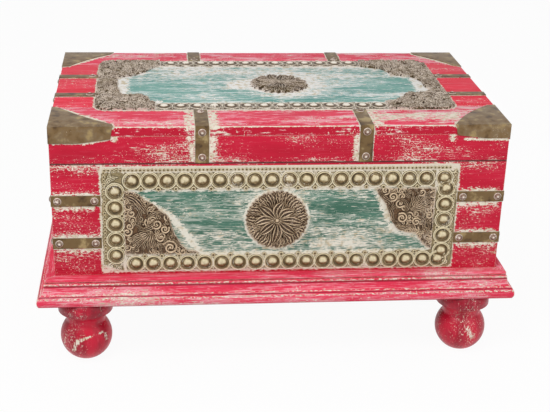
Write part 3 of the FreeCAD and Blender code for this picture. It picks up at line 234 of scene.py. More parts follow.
class Canvas(Tree):
    """One material's node tree."""

    def __init__(self, name: str) -> None:
        """Starts an empty material.

        Args:
            name: the material's name.
        """
        self.material = bpy.data.materials.new(name)
        self.material.use_nodes = True
        super().__init__(self.material.node_tree)
        self.coordinates = self.node("ShaderNodeTexCoord").outputs["Object"]

    def lifted(self, base: Any, pattern: Any, amount: float) -> Socket:
        """A value raised and lowered by a pattern that is 0.5 in the middle."""
        return self.sum("MULTIPLY_ADD", self.sum("SUBTRACT", pattern, 0.5), amount, base)

    def scaled(self, factors: Place, shift: float = 0.0) -> Socket:
        """The place on the piece in millimetres, stretched and then shifted, so that two pieces differ."""
        per_metre = tuple(s / MM for s in factors)
        return self.vector("MULTIPLY_ADD", self.coordinates, per_metre, (shift, shift * 0.7, shift * 1.3))

    def noise(self, factors: Place, detail: float, roughness: float, shift: float) -> Socket:
        """Noise over the piece.

        Args:
            factors: the scale along x, y and z, per millimetre.
            detail: how many finer layers it has.
            roughness: how strong the finer layers are.
            shift: moves the pattern.

        Returns:
            The noise, about 0.5 in the middle.
        """
        return self.node("ShaderNodeTexNoise", {
            "Vector": self.scaled(factors, shift), "Scale": 1.0, "Detail": detail, "Roughness": roughness,
        }).outputs["Fac"]

    def even_noise(self, scale: float, detail: float, roughness: float, shift: float) -> Socket:
        """Noise that is stretched nowhere, its settings as in noise()."""
        return self.noise((scale, scale, scale), detail, roughness, shift)

    def band(self, given: Any, low: float, high: float) -> Socket:
        """A smooth step from 0 at low to 1 at high, which may be the lower one."""
        below, above = (0.0, 1.0) if low < high else (1.0, 0.0)
        return self.node("ShaderNodeMapRange", {
            "Value": given, "From Min": min(low, high), "From Max": max(low, high), "To Min": below, "To Max": above,
        }, interpolation_type="SMOOTHSTEP", clamp=True).outputs["Result"]

    def mask(self, given: Any, mask: Mask) -> Socket:
        """A named smooth step over a value."""
        return self.band(given, *mask.value)

    def blend(self, share: Any, first: Any, second: Any) -> Socket:
        """The first colour turning into the second as share goes from 0 to 1."""
        made = self.node("ShaderNodeMix", {0: share, 6: first, 7: second}, data_type="RGBA", clamp_factor=True)
        return made.outputs[2]

    def attribute(self, name: str) -> Socket:
        """A number stored on the piece's points."""
        return self.node("ShaderNodeAttribute", attribute_name=name).outputs["Fac"]

    def box_distance(self, low: Place, high: Place) -> Socket:
        """How far a place is from a box.

        Args:
            low: the box's lowest corner, in millimetres.
            high: its highest corner.

        Returns:
            The distance in millimetres, 0 inside.
        """
        middle = tuple(-(a + b) / 2 for a, b in zip(low, high))
        half = tuple((b - a) / 2 for a, b in zip(low, high))
        offset = self.vector("ABSOLUTE", self.vector("ADD", self.scaled((1.0, 1.0, 1.0)), middle))
        return self.vector("LENGTH", self.vector("MAXIMUM", self.vector("SUBTRACT", offset, half), (0.0, 0.0, 0.0)))

    def line_distance(self, start: Place, end: Place) -> Socket:
        """How far a place is from a straight line.

        Args:
            start: the line's start, in millimetres.
            end: its end.

        Returns:
            The distance from the line's nearest point, in millimetres.
        """
        way = Vector(end) - Vector(start)
        offset = self.vector("SUBTRACT", self.scaled((1.0, 1.0, 1.0)), start)
        share = self.sum("DIVIDE", self.vector("DOT_PRODUCT", offset, tuple(way)), way.length_squared, clamp=True)
        return self.vector("DISTANCE", offset, self.longer(tuple(way), share))

    def edges(self, reach: float) -> Socket:
        """How near a sharp edge is.

        Args:
            reach: how far from the edge it starts, in millimetres.

        Returns:
            The nearness, from 0 on the flat to about 0.3 on the edge.
        """
        rounded = self.node("ShaderNodeBevel", {"Radius": reach * MM}, samples=4).outputs["Normal"]
        true_normal = self.node("ShaderNodeNewGeometry").outputs["Normal"]
        return self.sum("SUBTRACT", 1.0, self.vector("DOT_PRODUCT", rounded, true_normal))

    def bump(self, height: Any, depth: float, strength: float, under: Any = None) -> Socket:
        """A normal roughened by a height.

        Args:
            height: the height from 0 to 1.
            depth: what 1 stands for, in millimetres.
            strength: how strongly it shows.
            under: another normal to build on.

        Returns:
            The normal.
        """
        feeds = {"Height": height, "Distance": depth * MM, "Strength": strength}
        if under is not None:
            feeds["Normal"] = under
        return self.node("ShaderNodeBump", feeds).outputs["Normal"]

    def finish(self, **sockets: Any) -> Material:
        """Ends the tree in one Principled shader.

        Args:
            sockets: its inputs by name, with _ for a space.

        Returns:
            The material.
        """
        feeds = {key.replace("_", " "): given for key, given in sockets.items()}
        shader = self.node("ShaderNodeBsdfPrincipled", feeds)
        self.node("ShaderNodeOutputMaterial", {"Surface": shader.outputs["BSDF"]})
        return self.material


@dataclass(frozen=True)
class Halo:
    """Worn paint or painted shade round a box, or along a slanted line from low to high.

    It is full up to `inner` millimetres away and gone `reach` millimetres further out.
    """

    low: Place
    high: Place
    reach: float = 7.0
    strength: float = 1.0
    wear: Wear = Wear.RAGGED
    inner: float = 0.0
    slanted: bool = False

    def near(self, canvas: Canvas) -> Socket:
        """How near a place is, from 0 to the halo's strength."""
        away = (canvas.line_distance if self.slanted else canvas.box_distance)(self.low, self.high)
        return canvas.sum("MULTIPLY", canvas.band(away, self.inner + self.reach, self.inner), self.strength)


def scratch(start: Place, end: Place, reach: float, strength: float) -> Halo:
    """Ragged wear along a slanted line."""
    return Halo(start, end, reach, strength, slanted=True)


def streaks(low: Place, high: Place, reach: float, strength: float) -> Halo:
    """More dashes of undercoat in and round a box."""
    return Halo(low, high, reach, strength, Wear.STREAKED)


def painted_shade(low: Place, high: Place, reach: float, strength: float) -> Halo:
    """Painted shade in and round a box: a darker tone where shade falls."""
    return Halo(low, high, reach, strength, Wear.STAINED)


def around(node: str, reach: float, strength: float) -> Halo:
    """Ragged wear round a CAD node's box."""
    low, high = (tuple(c / MM for c in corner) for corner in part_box(node))
    return Halo(low, high, reach, strength)


class Pattern(Enum):
    """The paint's noises: scale along and across the grain per millimetre, detail, roughness and shift."""

    GROUPS = (0.006, 0.022, 3.0, 0.6, 7.0)
    DASHES = (0.055, 0.52, 3.0, 0.62, 0.0)
    FLAKES = (0.3, 0.48, 2.0, 0.6, 55.0)
    TATTER = (0.17, 0.42, 4.0, 0.7, 17.0)
    LINES = (0.02, 0.5, 4.0, 0.75, 31.0)
    MOTTLE = (0.008, 0.03, 4.0, 0.6, 3.0)


# A dash or a flake shows where its noise is above these, less AMOUNT_COUNTS for each 1 of its amount.
DASHES_FROM = 0.76
FLAKES_FROM = 0.78
AMOUNT_COUNTS = 0.2
DASH_SOFTNESS = 0.025
FLAKE_SOFTNESS = 0.02
HAZE_WIDTH = 0.08

# How far one noise moves another: dashes and flakes into groups, torn halos and rubbed edges into tatters.
GROUPING = 0.6
TEARING = 2.6
RUBBING = 0.34

# How far from a sharp edge wear starts, in millimetres, and how softly pale residue ends.
PAINT_EDGE = 2.2
BRASS_EDGE = 1.6
RESIDUE_EDGE = 0.06
FAR = 999.0


@dataclass(frozen=True)
class Paint:
    """Brushed paint worn through to a cream undercoat, with painted shade where its shade halos reach."""

    name: str
    body: Tone
    deep: Tone
    pale: Tone
    undercoat: Tone = (240, 231, 214)
    shade: Tone = (206, 190, 158)
    stain: Tone = (92, 40, 40)
    grain: Grain = Grain.ALONG_WIDTH
    dashes: float = 0.3
    flakes: float = 0.4
    brush: float = 0.2
    edge_wear: float = 1.0
    shift: float = 0.0
    halos: tuple[Halo, ...] = ()
    gloss: float = 0.5
    shine: float = 0.18
    below: Optional[tuple[float, Tone, Tone]] = None
    fine: float = 1.0
    hidden: Optional[tuple[Place, Place]] = None

    def material(self) -> Material:
        """Builds the paint's nodes.

        Returns:
            The material.
        """
        canvas = Canvas(self.name)
        groups = self._noise(canvas, Pattern.GROUPS)
        lines = self._noise(canvas, Pattern.LINES, self.fine)
        ragged, streaked, stained = self._worn(canvas)
        dashes = canvas.lifted(self._noise(canvas, Pattern.DASHES, self.fine), groups, GROUPING)
        dashes = canvas.sum("ADD", dashes, streaked)
        bare = self._bare(canvas, groups, dashes, ragged, streaked)
        spots = canvas.even_noise(0.09, 5.0, 0.65, self.shift + 90.0)
        cream = canvas.blend(canvas.mask(spots, Mask.SPOTTED), linear(self.undercoat), linear(self.shade))
        colour = canvas.blend(bare, self._coat(canvas, groups, dashes, lines), cream)
        # Painted shade: the darker shadow tone is laid where the painted-shade halos are near.
        shade_share = canvas.sum("MULTIPLY", canvas.mask(canvas.lifted(stained, spots, 0.8), Mask.SHADE_FALLOFF), 0.85)
        colour = canvas.blend(shade_share, colour, linear(self.stain))
        rough = canvas.sum("MULTIPLY_ADD", bare, 0.3, self.gloss)
        normal = canvas.bump(canvas.sum("SUBTRACT", 1.0, bare), 0.2, 0.7)
        normal = canvas.bump(lines, 0.35, 0.45, normal)
        return canvas.finish(Base_Color=colour, Roughness=rough, Normal=normal, Specular_IOR_Level=self.shine)

    def _noise(self, canvas: Canvas, pattern: Pattern, fine: float = 1.0) -> Socket:
        """One of the paint's noises, finer or coarser across the grain."""
        along, across, detail, roughness, shift = pattern.value
        return canvas.noise(stretch(self.grain, along, across * fine), detail, roughness, self.shift + shift)

    def _worn(self, canvas: Canvas) -> list[Any]:
        """Adds up the halos of each kind, without those that are hidden.

        Args:
            canvas: the material's canvas.

        Returns:
            The ragged, the streaked and the painted-shade nearness, each a number or an output.
        """
        totals: dict[Wear, Any] = {}
        for halo in self.halos:
            near = halo.near(canvas)
            before = totals.get(halo.wear)
            totals[halo.wear] = near if before is None else canvas.sum("MAXIMUM", before, near)
        if self.hidden:
            seen = canvas.mask(canvas.box_distance(*self.hidden), Mask.OUTSIDE)
            for wear in (Wear.RAGGED, Wear.STREAKED):
                totals[wear] = canvas.sum("MULTIPLY", totals.get(wear, 0.0), seen)
        return [totals.get(wear, 0.0) for wear in Wear]

    def _bare(self, canvas: Canvas, groups: Any, dashes: Any, ragged: Any, streaked: Any) -> Socket:
        """Where the paint is gone: dashes, flakes, torn halos and rubbed edges.

        Args:
            canvas: the material's canvas.
            groups: the noise that gathers the dashes and the flakes.
            dashes: the dashes' noise.
            ragged: the nearness of ragged halos.
            streaked: the nearness of streaked halos.

        Returns:
            1 where the undercoat shows and 0 where the paint does.
        """
        dash_from = DASHES_FROM - AMOUNT_COUNTS * self.dashes
        flake_from = FLAKES_FROM - AMOUNT_COUNTS * self.flakes
        flakes = canvas.lifted(self._noise(canvas, Pattern.FLAKES, self.fine), groups, GROUPING)
        flakes = canvas.sum("MULTIPLY_ADD", streaked, 0.6, flakes)
        tatter = self._noise(canvas, Pattern.TATTER, self.fine)
        edge = canvas.mask(canvas.lifted(canvas.edges(PAINT_EDGE), tatter, RUBBING), Mask.RUBBED)
        bare = canvas.band(dashes, dash_from, dash_from + DASH_SOFTNESS)
        for other in (
            canvas.band(flakes, flake_from, flake_from + FLAKE_SOFTNESS),
            canvas.mask(canvas.lifted(ragged, tatter, TEARING), Mask.TORN),
            canvas.sum("MULTIPLY", edge, min(1.0, self.edge_wear)),
        ):
            bare = canvas.sum("MAXIMUM", bare, other)
        return bare

    def _coat(self, canvas: Canvas, groups: Any, dashes: Any, lines: Any) -> Socket:
        """The paint's colour with its brush marks.

        Args:
            canvas: the material's canvas.
            groups: the noise that gathers the marks.
            dashes: the dashes' noise, which the paint pales beside.
            lines: the brush lines' noise.

        Returns:
            The colour.
        """
        dash_from = DASHES_FROM - AMOUNT_COUNTS * self.dashes
        thin = canvas.sum("MULTIPLY", canvas.mask(canvas.lifted(lines, groups, 0.5), Mask.BRUSHED), self.brush)
        haze = canvas.sum("MULTIPLY", canvas.band(dashes, dash_from - HAZE_WIDTH, dash_from), 0.4)
        mottled = canvas.mask(self._noise(canvas, Pattern.MOTTLE), Mask.MOTTLED)
        colour = canvas.blend(mottled, linear(self.deep), linear(self.body))
        if self.below:
            height, deep, body = self.below
            under = canvas.mask(canvas.box_distance((-FAR, -FAR, height), (FAR, FAR, FAR)), Mask.LOWER)
            colour = canvas.blend(under, colour, canvas.blend(mottled, linear(deep), linear(body)))
            thin = canvas.sum("MULTIPLY", thin, canvas.sum("SUBTRACT", 1.0, under))
        return canvas.blend(canvas.sum("MAXIMUM", thin, haze), colour, linear(self.pale))


@dataclass(frozen=True)
class BareWood:
    """Unpainted boards inside the chest."""

    name: str
    light: Tone = (186, 148, 104)
    dark: Tone = (138, 98, 62)
    pore: Tone = (96, 66, 40)
    grain: Grain = Grain.ALONG_WIDTH

    def material(self) -> Material:
        """Builds the wood's nodes.

        Returns:
            The material.
        """
        canvas = Canvas(self.name)
        figure = canvas.noise(stretch(self.grain, 0.01, 0.3), 6.0, 0.6, 12.0)
        pores = canvas.noise(stretch(self.grain, 0.06, 1.8), 3.0, 0.5, 4.0)
        colour = canvas.blend(canvas.mask(figure, Mask.FIGURED), linear(self.light), linear(self.dark))
        open_pores = canvas.sum("MULTIPLY", canvas.mask(pores, Mask.PORES), 0.5)
        colour = canvas.blend(open_pores, colour, linear(self.pore))
        return canvas.finish(Base_Color=colour, Roughness=0.72, Normal=canvas.bump(pores, 0.3, 0.5))


@dataclass(frozen=True)
class Brass:
    """Aged brass sheet, dark in its hollows from patina and painted shade, light on its crests from rubbing and a
    painted highlight, with pale residue.
    """

    name: str
    hollow: Tone = (70, 52, 32)
    body: Tone = (122, 98, 60)
    crest: Tone = (206, 188, 150)
    residue: Tone = (226, 216, 194)
    embossed: bool = True
    residue_amount: float = 0.4
    residue_reach: float = 0.02
    rim: float = 1.0
    patina: Tone = (96, 88, 62)
    patina_amount: float = 0.4
    roughness: float = 0.42
    metallic: float = 0.45
    lift: float = 0.0
    shift: float = 0.0
    clean: tuple[Halo, ...] = ()

    def material(self) -> Material:
        """Builds the brass's nodes.

        Returns:
            The material.
        """
        canvas = Canvas(self.name)
        blotches = canvas.even_noise(self.residue_reach, 4.0, 0.62, self.shift)
        grit = canvas.even_noise(0.42, 3.0, 0.62, self.shift + 20.0)
        cloud = canvas.even_noise(0.045, 3.0, 0.55, self.shift + 40.0)
        if self.embossed:
            # The shade points carry a painted highlight on crests and painted shade in hollows, together with patina
            # and rubbing.
            shade = canvas.lifted(canvas.sum("ADD", canvas.attribute("shade"), self.lift), grit, 0.4)
            rim = canvas.attribute("rim")
        else:
            shade = canvas.lifted(0.5, cloud, 2.4)
            rim = canvas.mask(canvas.edges(BRASS_EDGE), Mask.SHEET_EDGE)
            if self.rim < 0:
                shade = canvas.sum("MULTIPLY_ADD", rim, self.rim, shade)
        crest = canvas.mask(shade, Mask.CRESTS)
        aged = canvas.sum("MULTIPLY", canvas.mask(cloud, Mask.AGED), self.patina_amount)
        settled = canvas.lifted(canvas.lifted(0.5, blotches, 1.4), grit, 1.3)
        for halo in self.clean:
            settled = canvas.sum("SUBTRACT", settled, halo.near(canvas))
        settled = canvas.sum("MULTIPLY_ADD", rim, 0.5 * self.rim, settled)
        least = 1.0 - 0.75 * self.residue_amount
        pale = canvas.sum("MULTIPLY", canvas.band(settled, least - RESIDUE_EDGE, least + RESIDUE_EDGE), 0.92)
        colour = canvas.blend(canvas.mask(shade, Mask.OUT_OF_HOLLOWS), linear(self.hollow), linear(self.body))
        for share, tone in ((aged, self.patina), (crest, self.crest), (pale, self.residue)):
            colour = canvas.blend(share, colour, linear(tone))
        rough = canvas.sum("MULTIPLY_ADD", pale, 0.35, self.roughness)
        dull = canvas.sum("MAXIMUM", pale, canvas.sum("MULTIPLY", crest, 0.6))
        metal = canvas.sum("MULTIPLY", canvas.sum("SUBTRACT", 1.0, dull), self.metallic)
        normal = canvas.bump(cloud, 1.2, 0.4, canvas.bump(grit, 0.3, 0.5))
        return canvas.finish(Base_Color=colour, Roughness=rough, Metallic=metal, Normal=normal)


def new_piece(name: str, mesh: Mesh) -> Piece:
    """Puts a mesh in the scene as an object at the origin."""
    piece = bpy.data.objects.new(name, mesh)
    bpy.context.scene.collection.objects.link(piece)
    return piece


def smooth_by_angle(mesh: Mesh, degrees: float) -> None:
    """Shades a mesh smooth, apart from edges sharper than an angle."""
    mesh.shade_smooth()
    mesh.set_sharp_from_angle(angle=math.radians(degrees))


def settle(piece: Piece, body: Body, nodes: Sequence[str],
           material: Optional[Material] = None) -> Piece:
    """Gives a finished piece its material and its body, and hides the CAD nodes it stands for.

    Args:
        piece: the finished piece.
        body: what it rides on.
        nodes: the CAD nodes it stands for.
        material: its finish, where it has none yet.

    Returns:
        The piece.
    """
    if material is not None:
        piece.data.materials.clear()
        piece.data.materials.append(material)
    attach(piece, body.value)
    if nodes:
        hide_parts(*nodes)
    return piece


def welded(frame: dict[str, Any], node: str) -> bmesh.types.BMesh:
    """A CAD node's mesh with its doubled points made one.

    Args:
        node: the CAD node.

    Returns:
        The editable copy, which its user frees.
    """
    shape = bmesh.new()
    shape.from_mesh(frame["nodes"][node].data)
    bmesh.ops.remove_doubles(shape, verts=shape.verts, dist=SAME_PLACE)
    return shape


def refined(frame: dict[str, Any], node: str, edge: float, smooth: float = 32.0,
            keep_edges: bool = False) -> Piece:
    """A cleaned copy of a CAD node with eased edges.

    Args:
        node: the CAD node.
        edge: how wide its sharp edges are eased, in millimetres, 0 for not at all.
        smooth: faces meeting below this angle are shaded as one.
        keep_edges: whether flat faces keep the CAD mesh's own edges.

    Returns:
        The copy, at the origin.
    """
    shape = welded(frame, node)
    if not keep_edges:
        bmesh.ops.dissolve_limit(shape, angle_limit=math.radians(FLAT_WITHIN), verts=shape.verts, edges=shape.edges)
    if edge:
        sharp = [e for e in shape.edges if e.is_manifold and e.calc_face_angle(0.0) > math.radians(SHARP_FROM)]
        bmesh.ops.bevel(shape, geom=sharp, offset=edge * MM, offset_type="OFFSET", segments=2, profile=0.6,
                        affect="EDGES", clamp_overlap=True)
    return new_piece(f"{node}_finish", closed_mesh(shape, f"{node}_mesh", smooth))


def closed_mesh(shape: bmesh.types.BMesh, name: str, smooth: float) -> Mesh:
    """Turns an editable shape into a mesh and frees it.

    Args:
        shape: the shape.
        name: the mesh's name.
        smooth: faces meeting below this angle are shaded as one.

    Returns:
        The mesh.
    """
    bmesh.ops.recalc_face_normals(shape, faces=shape.faces)
    mesh = bpy.data.meshes.new(name)
    shape.to_mesh(mesh)
    shape.free()
    smooth_by_angle(mesh, smooth)
    return mesh


def dressed(frame: dict[str, Any], body: Body, finishes: dict[str, Material],
            edge: float, smooth: float = 32.0, keep_edges: bool = False) -> list[Piece]:
    """A cleaned and finished copy of each CAD node that finishes names, its edges eased as in refined()."""
    return [settle(refined(frame, node, edge, smooth, keep_edges), body, [node], finish)
            for node, finish in finishes.items()]


def nail_places(frame: dict[str, Any], node: str) -> list[tuple[Place, Place]]:
    """Where each nail of a CAD node stands and which way its head faces.

    Args:
        node: the CAD node of the nails.

    Returns:
        For each nail its foot in millimetres and its direction.
    """
    shape = welded(frame, node)
    waiting = set(shape.verts)
    places: list[tuple[Place, Place]] = []
    while waiting:
        found = {waiting.pop()}
        edge_of_found = list(found)
        while edge_of_found:
            at = edge_of_found.pop()
            for other in (e.other_vert(at) for e in at.link_edges):
                if other in waiting:
                    waiting.remove(other)
                    found.add(other)
                    edge_of_found.append(other)
        corners = np.array([v.co for v in found]) / MM
        low, high = corners.min(axis=0), corners.max(axis=0)
        axis = int(np.argmin(high - low))
        middle = (low + high) / 2
        outward = -1.0 if middle[axis] < 0 else 1.0
        foot = middle.copy()
        foot[axis] = low[axis] if outward > 0 else high[axis]
        way = [0.0, 0.0, 0.0]
        way[axis] = outward
        places.append((tuple(float(c) for c in foot), tuple(way)))
    shape.free()
    return sorted(places)


def spline(points: Sequence[Point], count: int) -> np.ndarray:
    """Points along a smooth line through the given ones.

    Args:
        points: the points to pass through.
        count: how many points to give back.

    Returns:
        An array of count by 2.
    """
    knots = np.array(points, float)
    padded = np.vstack([2 * knots[0] - knots[1], knots, 2 * knots[-1] - knots[-2]])
    place = np.linspace(0, len(knots) - 1, count)
    index = np.minimum(place.astype(int), len(knots) - 2)
    t = (place - index)[:, None]
    p0, p1, p2, p3 = (padded[index + k] for k in range(4))
    return 0.5 * (2 * p1 + (p2 - p0) * t + (2 * p0 - 5 * p1 + 4 * p2 - p3) * t ** 2
                  + (3 * p1 - p0 - 3 * p2 + p3) * t ** 3)


class EmbossedSheet:
    """A thin sheet, as a grid of heights in its own plane, beaten up into leaves and scrolls."""

    def __init__(self, outline: Sequence[Point], step: float = 0.8, seed: int = 1) -> None:
        """Lays out the sheet's grid.

        Args:
            outline: the sheet's corners in millimetres, anticlockwise.
            step: the grid's spacing.
            seed: fixes what is random.
        """
        self.step = step
        self.outline = np.array(outline, float)
        self.random = np.random.default_rng(seed)
        low = self.outline.min(axis=0) - step
        high = self.outline.max(axis=0) + step
        self.across = np.arange(low[0], high[0] + step, step)
        self.along = np.arange(low[1], high[1] + step, step)
        self.x, self.y = np.meshgrid(self.across, self.along, indexing="ij")
        self.height = np.full(self.x.shape, SHEET)

    def _window(self, low: np.ndarray, high: np.ndarray) -> tuple[slice, slice]:
        """The part of the grid between two corners.

        Args:
            low: the lower corner.
            high: the upper corner.

        Returns:
            The slices of the grid.
        """
        i0, i1 = np.searchsorted(self.across, (low[0], high[0]))
        j0, j1 = np.searchsorted(self.along, (low[1], high[1]))
        return (slice(i0, max(i1, i0 + 1)), slice(j0, max(j1, j0 + 1)))

    def _near(self, line: np.ndarray, reach: float) -> tuple[Any, np.ndarray, np.ndarray]:
        """The part of the grid near a line.

        Args:
            line: the line's points.
            reach: how far from it the part goes.

        Returns:
            The part, and each of its points' distance from the line and place along it.
        """
        part = self._window(line.min(axis=0) - reach, line.max(axis=0) + reach)
        gap = np.hypot(self.x[part][..., None] - line[:, 0], self.y[part][..., None] - line[:, 1])
        nearest = gap.argmin(axis=-1)
        return part, np.take_along_axis(gap, nearest[..., None], -1)[..., 0], nearest / (len(line) - 1)

    def leaf(self, points: Sequence[Point], half_width: float, height: float, lobes: int = 0,
             fullest: float = 0.4) -> None:
        """Beats up one leaf along a line, with a raised rim, a rib down its middle and lobes at its sides.

        Args:
            points: the leaf's spine from stalk to tip.
            half_width: at its fullest.
            height: above the wood.
            lobes: how many it has along each side.
            fullest: where along it the leaf is widest.
        """
        line = spline(points, 48)
        part, gap, t = self._near(line, half_width)
        power = math.log(0.5) / math.log(fullest)
        width = half_width * np.sin(np.pi * np.clip(t, 0.015, 0.985) ** power) ** 0.75
        if lobes:
            width = width * (1 - LOBE_DEPTH + LOBE_DEPTH * np.abs(np.cos(np.pi * lobes * t)))
        rel = np.clip(gap / np.maximum(width, 0.05), 0, 1)
        dish = 0.5 + 0.2 * rel
        rim = RIM_RISE * np.exp(-((rel - RIM_AT) / RIM_WIDTH) ** 2)
        rib = RIB_RISE * np.exp(-(rel / RIB_WIDTH) ** 2)
        side = 1.0
        if lobes:
            side = 0.88 + 0.12 * np.cos(2 * np.pi * lobes * t - 2.2 * rel)
        fall = np.clip((1 - rel) / EDGE_WIDTH, 0, 1)
        rise = SHEET + (height - SHEET) * (dish * side + rim + rib) * fall
        self.height[part] = np.maximum(self.height[part], np.where(rel < 1, rise, 0))

    def rope(self, points: Sequence[Point], half_width: float, height: float) -> None:
        """Beats up a narrow rib along a line.

        Args:
            points: the line.
            half_width: of the rib.
            height: above the wood.
        """
        line = spline(points, 60)
        part, gap, _ = self._near(line, half_width)
        rise = SHEET + (height - SHEET) * np.sqrt(np.clip(1 - (gap / half_width) ** 2, 0, 1))
        self.height[part] = np.maximum(self.height[part], np.where(gap < half_width, rise, 0))

    def scroll(self, centre: Point, radius: float, turns: float, start: float, height: float, half_width: float = 1.7,
               clockwise: bool = False) -> None:
        """Beats up a scroll that winds in to a button.

        Args:
            centre: the button's place.
            radius: of the outer turn.
            turns: how far it winds.
            start: the angle of its outer end, in degrees.
            height: above the wood.
            half_width: of the scroll's rib.
            clockwise: which way it winds in.
        """
        share = np.linspace(0, 1, max(4, int(turns * 9)))
        turned = math.radians(start) + (-1 if clockwise else 1) * share * turns * 2 * math.pi
        reach = radius * (1 - 0.74 * share)
        line = [(centre[0] + r * math.cos(a), centre[1] + r * math.sin(a)) for r, a in zip(reach, turned)]
        self.rope(line, half_width, height)
        self.button(centre, radius * 0.24, height)

    def fan(self, root: Point, tips: Sequence[Point], bend: Point, half_width: float, height: float,
            fullest: float = 0.4) -> None:
        """Beats up leaves that spread from one root.

        Args:
            root: where they start.
            tips: where they end.
            bend: how far their middles are moved aside.
            half_width: at their fullest.
            height: above the wood.
            fullest: where along them they are widest.
        """
        for tip in tips:
            middle = ((root[0] + tip[0]) / 2 + bend[0], (root[1] + tip[1]) / 2 + bend[1])
            self.leaf([root, middle, tip], half_width, height, 3, fullest)

    def button(self, centre: Point, radius: float, height: float) -> None:
        """Beats up a round button."""
        self.ring(centre, 0.0, radius, height)

    def ring(self, centre: Point, radius: float, half_width: float, height: float) -> None:
        """Beats up a round rib, or a button where its radius is 0.

        Args:
            centre: its middle.
            radius: of the rib's crest.
            half_width: of the rib.
            height: above the wood.
        """
        middle = np.array(centre)
        part = self._window(middle - radius - half_width, middle + radius + half_width)
        gap = np.abs(np.hypot(self.x[part] - centre[0], self.y[part] - centre[1]) - radius) / half_width
        rise = SHEET + (height - SHEET) * np.sqrt(np.clip(1 - gap ** 2, 0, 1))
        self.height[part] = np.maximum(self.height[part], np.where(gap < 1, rise, 0))

    def filigree(self, count: int, size: float, height: float) -> None:
        """Fills what is still flat with small scrolls, leaves and buttons.

        Args:
            count: how many are tried.
            size: their usual radius.
            height: above the wood.
        """
        low, high = self.outline.min(axis=0), self.outline.max(axis=0)
        inside = self._inside()
        for _ in range(count):
            spot = self.random.uniform(low, high)
            i = min(int((spot[0] - self.across[0]) / self.step), inside.shape[0] - 1)
            j = min(int((spot[1] - self.along[0]) / self.step), inside.shape[1] - 1)
            if not inside[i, j] or self.height[i, j] > SHEET + TAKEN_FROM * (height - SHEET):
                continue
            turn = self.random.uniform(0, 360)
            reach = size * self.random.uniform(0.6, 1.25)
            kind = self.random.random()
            if kind < SCROLLS_TO:
                self.scroll((spot[0], spot[1]), reach, 1.15, turn, height, max(0.8, reach * 0.2),
                            kind < SCROLLS_TO / 2)
            elif kind < LEAVES_TO:
                way = (math.cos(math.radians(turn)), math.sin(math.radians(turn)))
                bend = self.random.uniform(-0.4, 0.4) * reach
                line = [(spot[0] - way[0] * reach, spot[1] - way[1] * reach),
                        (spot[0] - way[1] * bend, spot[1] + way[0] * bend),
                        (spot[0] + way[0] * reach, spot[1] + way[1] * reach)]
                self.leaf(line, reach * 0.46, height, 3)
            else:
                self.button((spot[0], spot[1]), reach * 0.3, height)

    def hammered(self, depth: float, size: float) -> None:
        """Makes the whole sheet slightly uneven.

        Args:
            depth: how deep, in millimetres.
            size: how far apart the dents are.
        """
        total = np.zeros_like(self.height)
        for _ in range(14):
            way = self.random.uniform(0, 2 * math.pi)
            wave = 2 * math.pi / (size * self.random.uniform(0.6, 1.8))
            total += np.sin(wave * (self.x * math.cos(way) + self.y * math.sin(way)) + self.random.uniform(0, 6.28))
        self.height = self.height + depth * total / 5

    def mesh(self, name: str, lift: Callable[[np.ndarray, np.ndarray, np.ndarray], np.ndarray],
             highest: float) -> Mesh:
        """The sheet as a closed mesh.

        Args:
            name: the mesh's name.
            lift: turns the sheet's x, y and height into places in the chest, in millimetres.
            highest: no point stands higher than this.

        Returns:
            The mesh, with its crests and hollows and its nearness to the rim on its points.
        """
        inside = self._inside()
        spread = inside.copy()
        spread[1:, :] |= inside[:-1, :]
        spread[:-1, :] |= inside[1:, :]
        wide = spread.copy()
        wide[:, 1:] |= spread[:, :-1]
        wide[:, :-1] |= spread[:, 1:]
        edge = wide & ~inside
        away = np.zeros_like(self.height)
        x, y = self.x.copy(), self.y.copy()
        on_x, on_y = self._onto_outline(x[wide], y[wide])
        away[wide] = np.hypot(x[wide] - on_x, y[wide] - on_y)
        onto = edge[wide]
        x[edge], y[edge] = on_x[onto], on_y[onto]
        away[edge] = 0.0
        cells = inside[:-1, :-1] | inside[1:, :-1] | inside[:-1, 1:] | inside[1:, 1:]
        height = np.clip(self.height, THINNEST, highest)
        shade = self._shade(height, highest)
        number = np.full(self.x.shape, -1)
        used = np.zeros_like(inside)
        for a, b in ((0, 0), (1, 0), (0, 1), (1, 1)):
            used[a:used.shape[0] - 1 + a, b:used.shape[1] - 1 + b] |= cells
        number[used] = np.arange(used.sum())
        i, j = np.nonzero(cells)
        faces = np.stack([number[i, j], number[i + 1, j], number[i + 1, j + 1], number[i, j + 1]], axis=1)
        marks = {"shade": shade[used], "rim": np.clip(1 - away[used] / RIM_REACH, 0, 1)}
        return self._closed(name, faces, marks, lift, np.stack([x[used], y[used], height[used]]))

    def _shade(self, height: np.ndarray, highest: float) -> np.ndarray:
        """How light each place is: crests and high places light as a painted highlight, hollows dark as painted shade
        and patina.

        Args:
            height: the sheet's heights.
            highest: the highest they may be.

        Returns:
            Numbers about 0.5, from 0 to 1.
        """
        curve = np.zeros_like(height)
        for k, full in ((1, FULL_FINE_CURVE), (2, FULL_WIDE_CURVE)):
            mid, before, after = slice(k, -k), slice(None, -2 * k), slice(2 * k, None)
            beside = height[before, mid] + height[after, mid] + height[mid, before] + height[mid, after]
            curve[mid, mid] += (height[mid, mid] - beside / 4) / (full * self.step)
        rise = (height - SHEET) / max(highest - SHEET, 0.5)
        return np.clip(EVEN_SHADE + SHADE_BY_CURVE * np.clip(curve, -1, 1) + SHADE_BY_RISE * rise, 0, 1)

    def _inside(self) -> np.ndarray:
        """Which grid points lie in the outline.

        Returns:
            True for each point inside.
        """
        inside = np.zeros(self.x.shape, bool)
        for (x0, y0), (x1, y1) in zip(self.outline, np.roll(self.outline, -1, axis=0)):
            crosses = (y0 > self.y) != (y1 > self.y)
            if y0 != y1:
                inside ^= crosses & (self.x < (x1 - x0) * (self.y - y0) / (y1 - y0) + x0)
        return inside

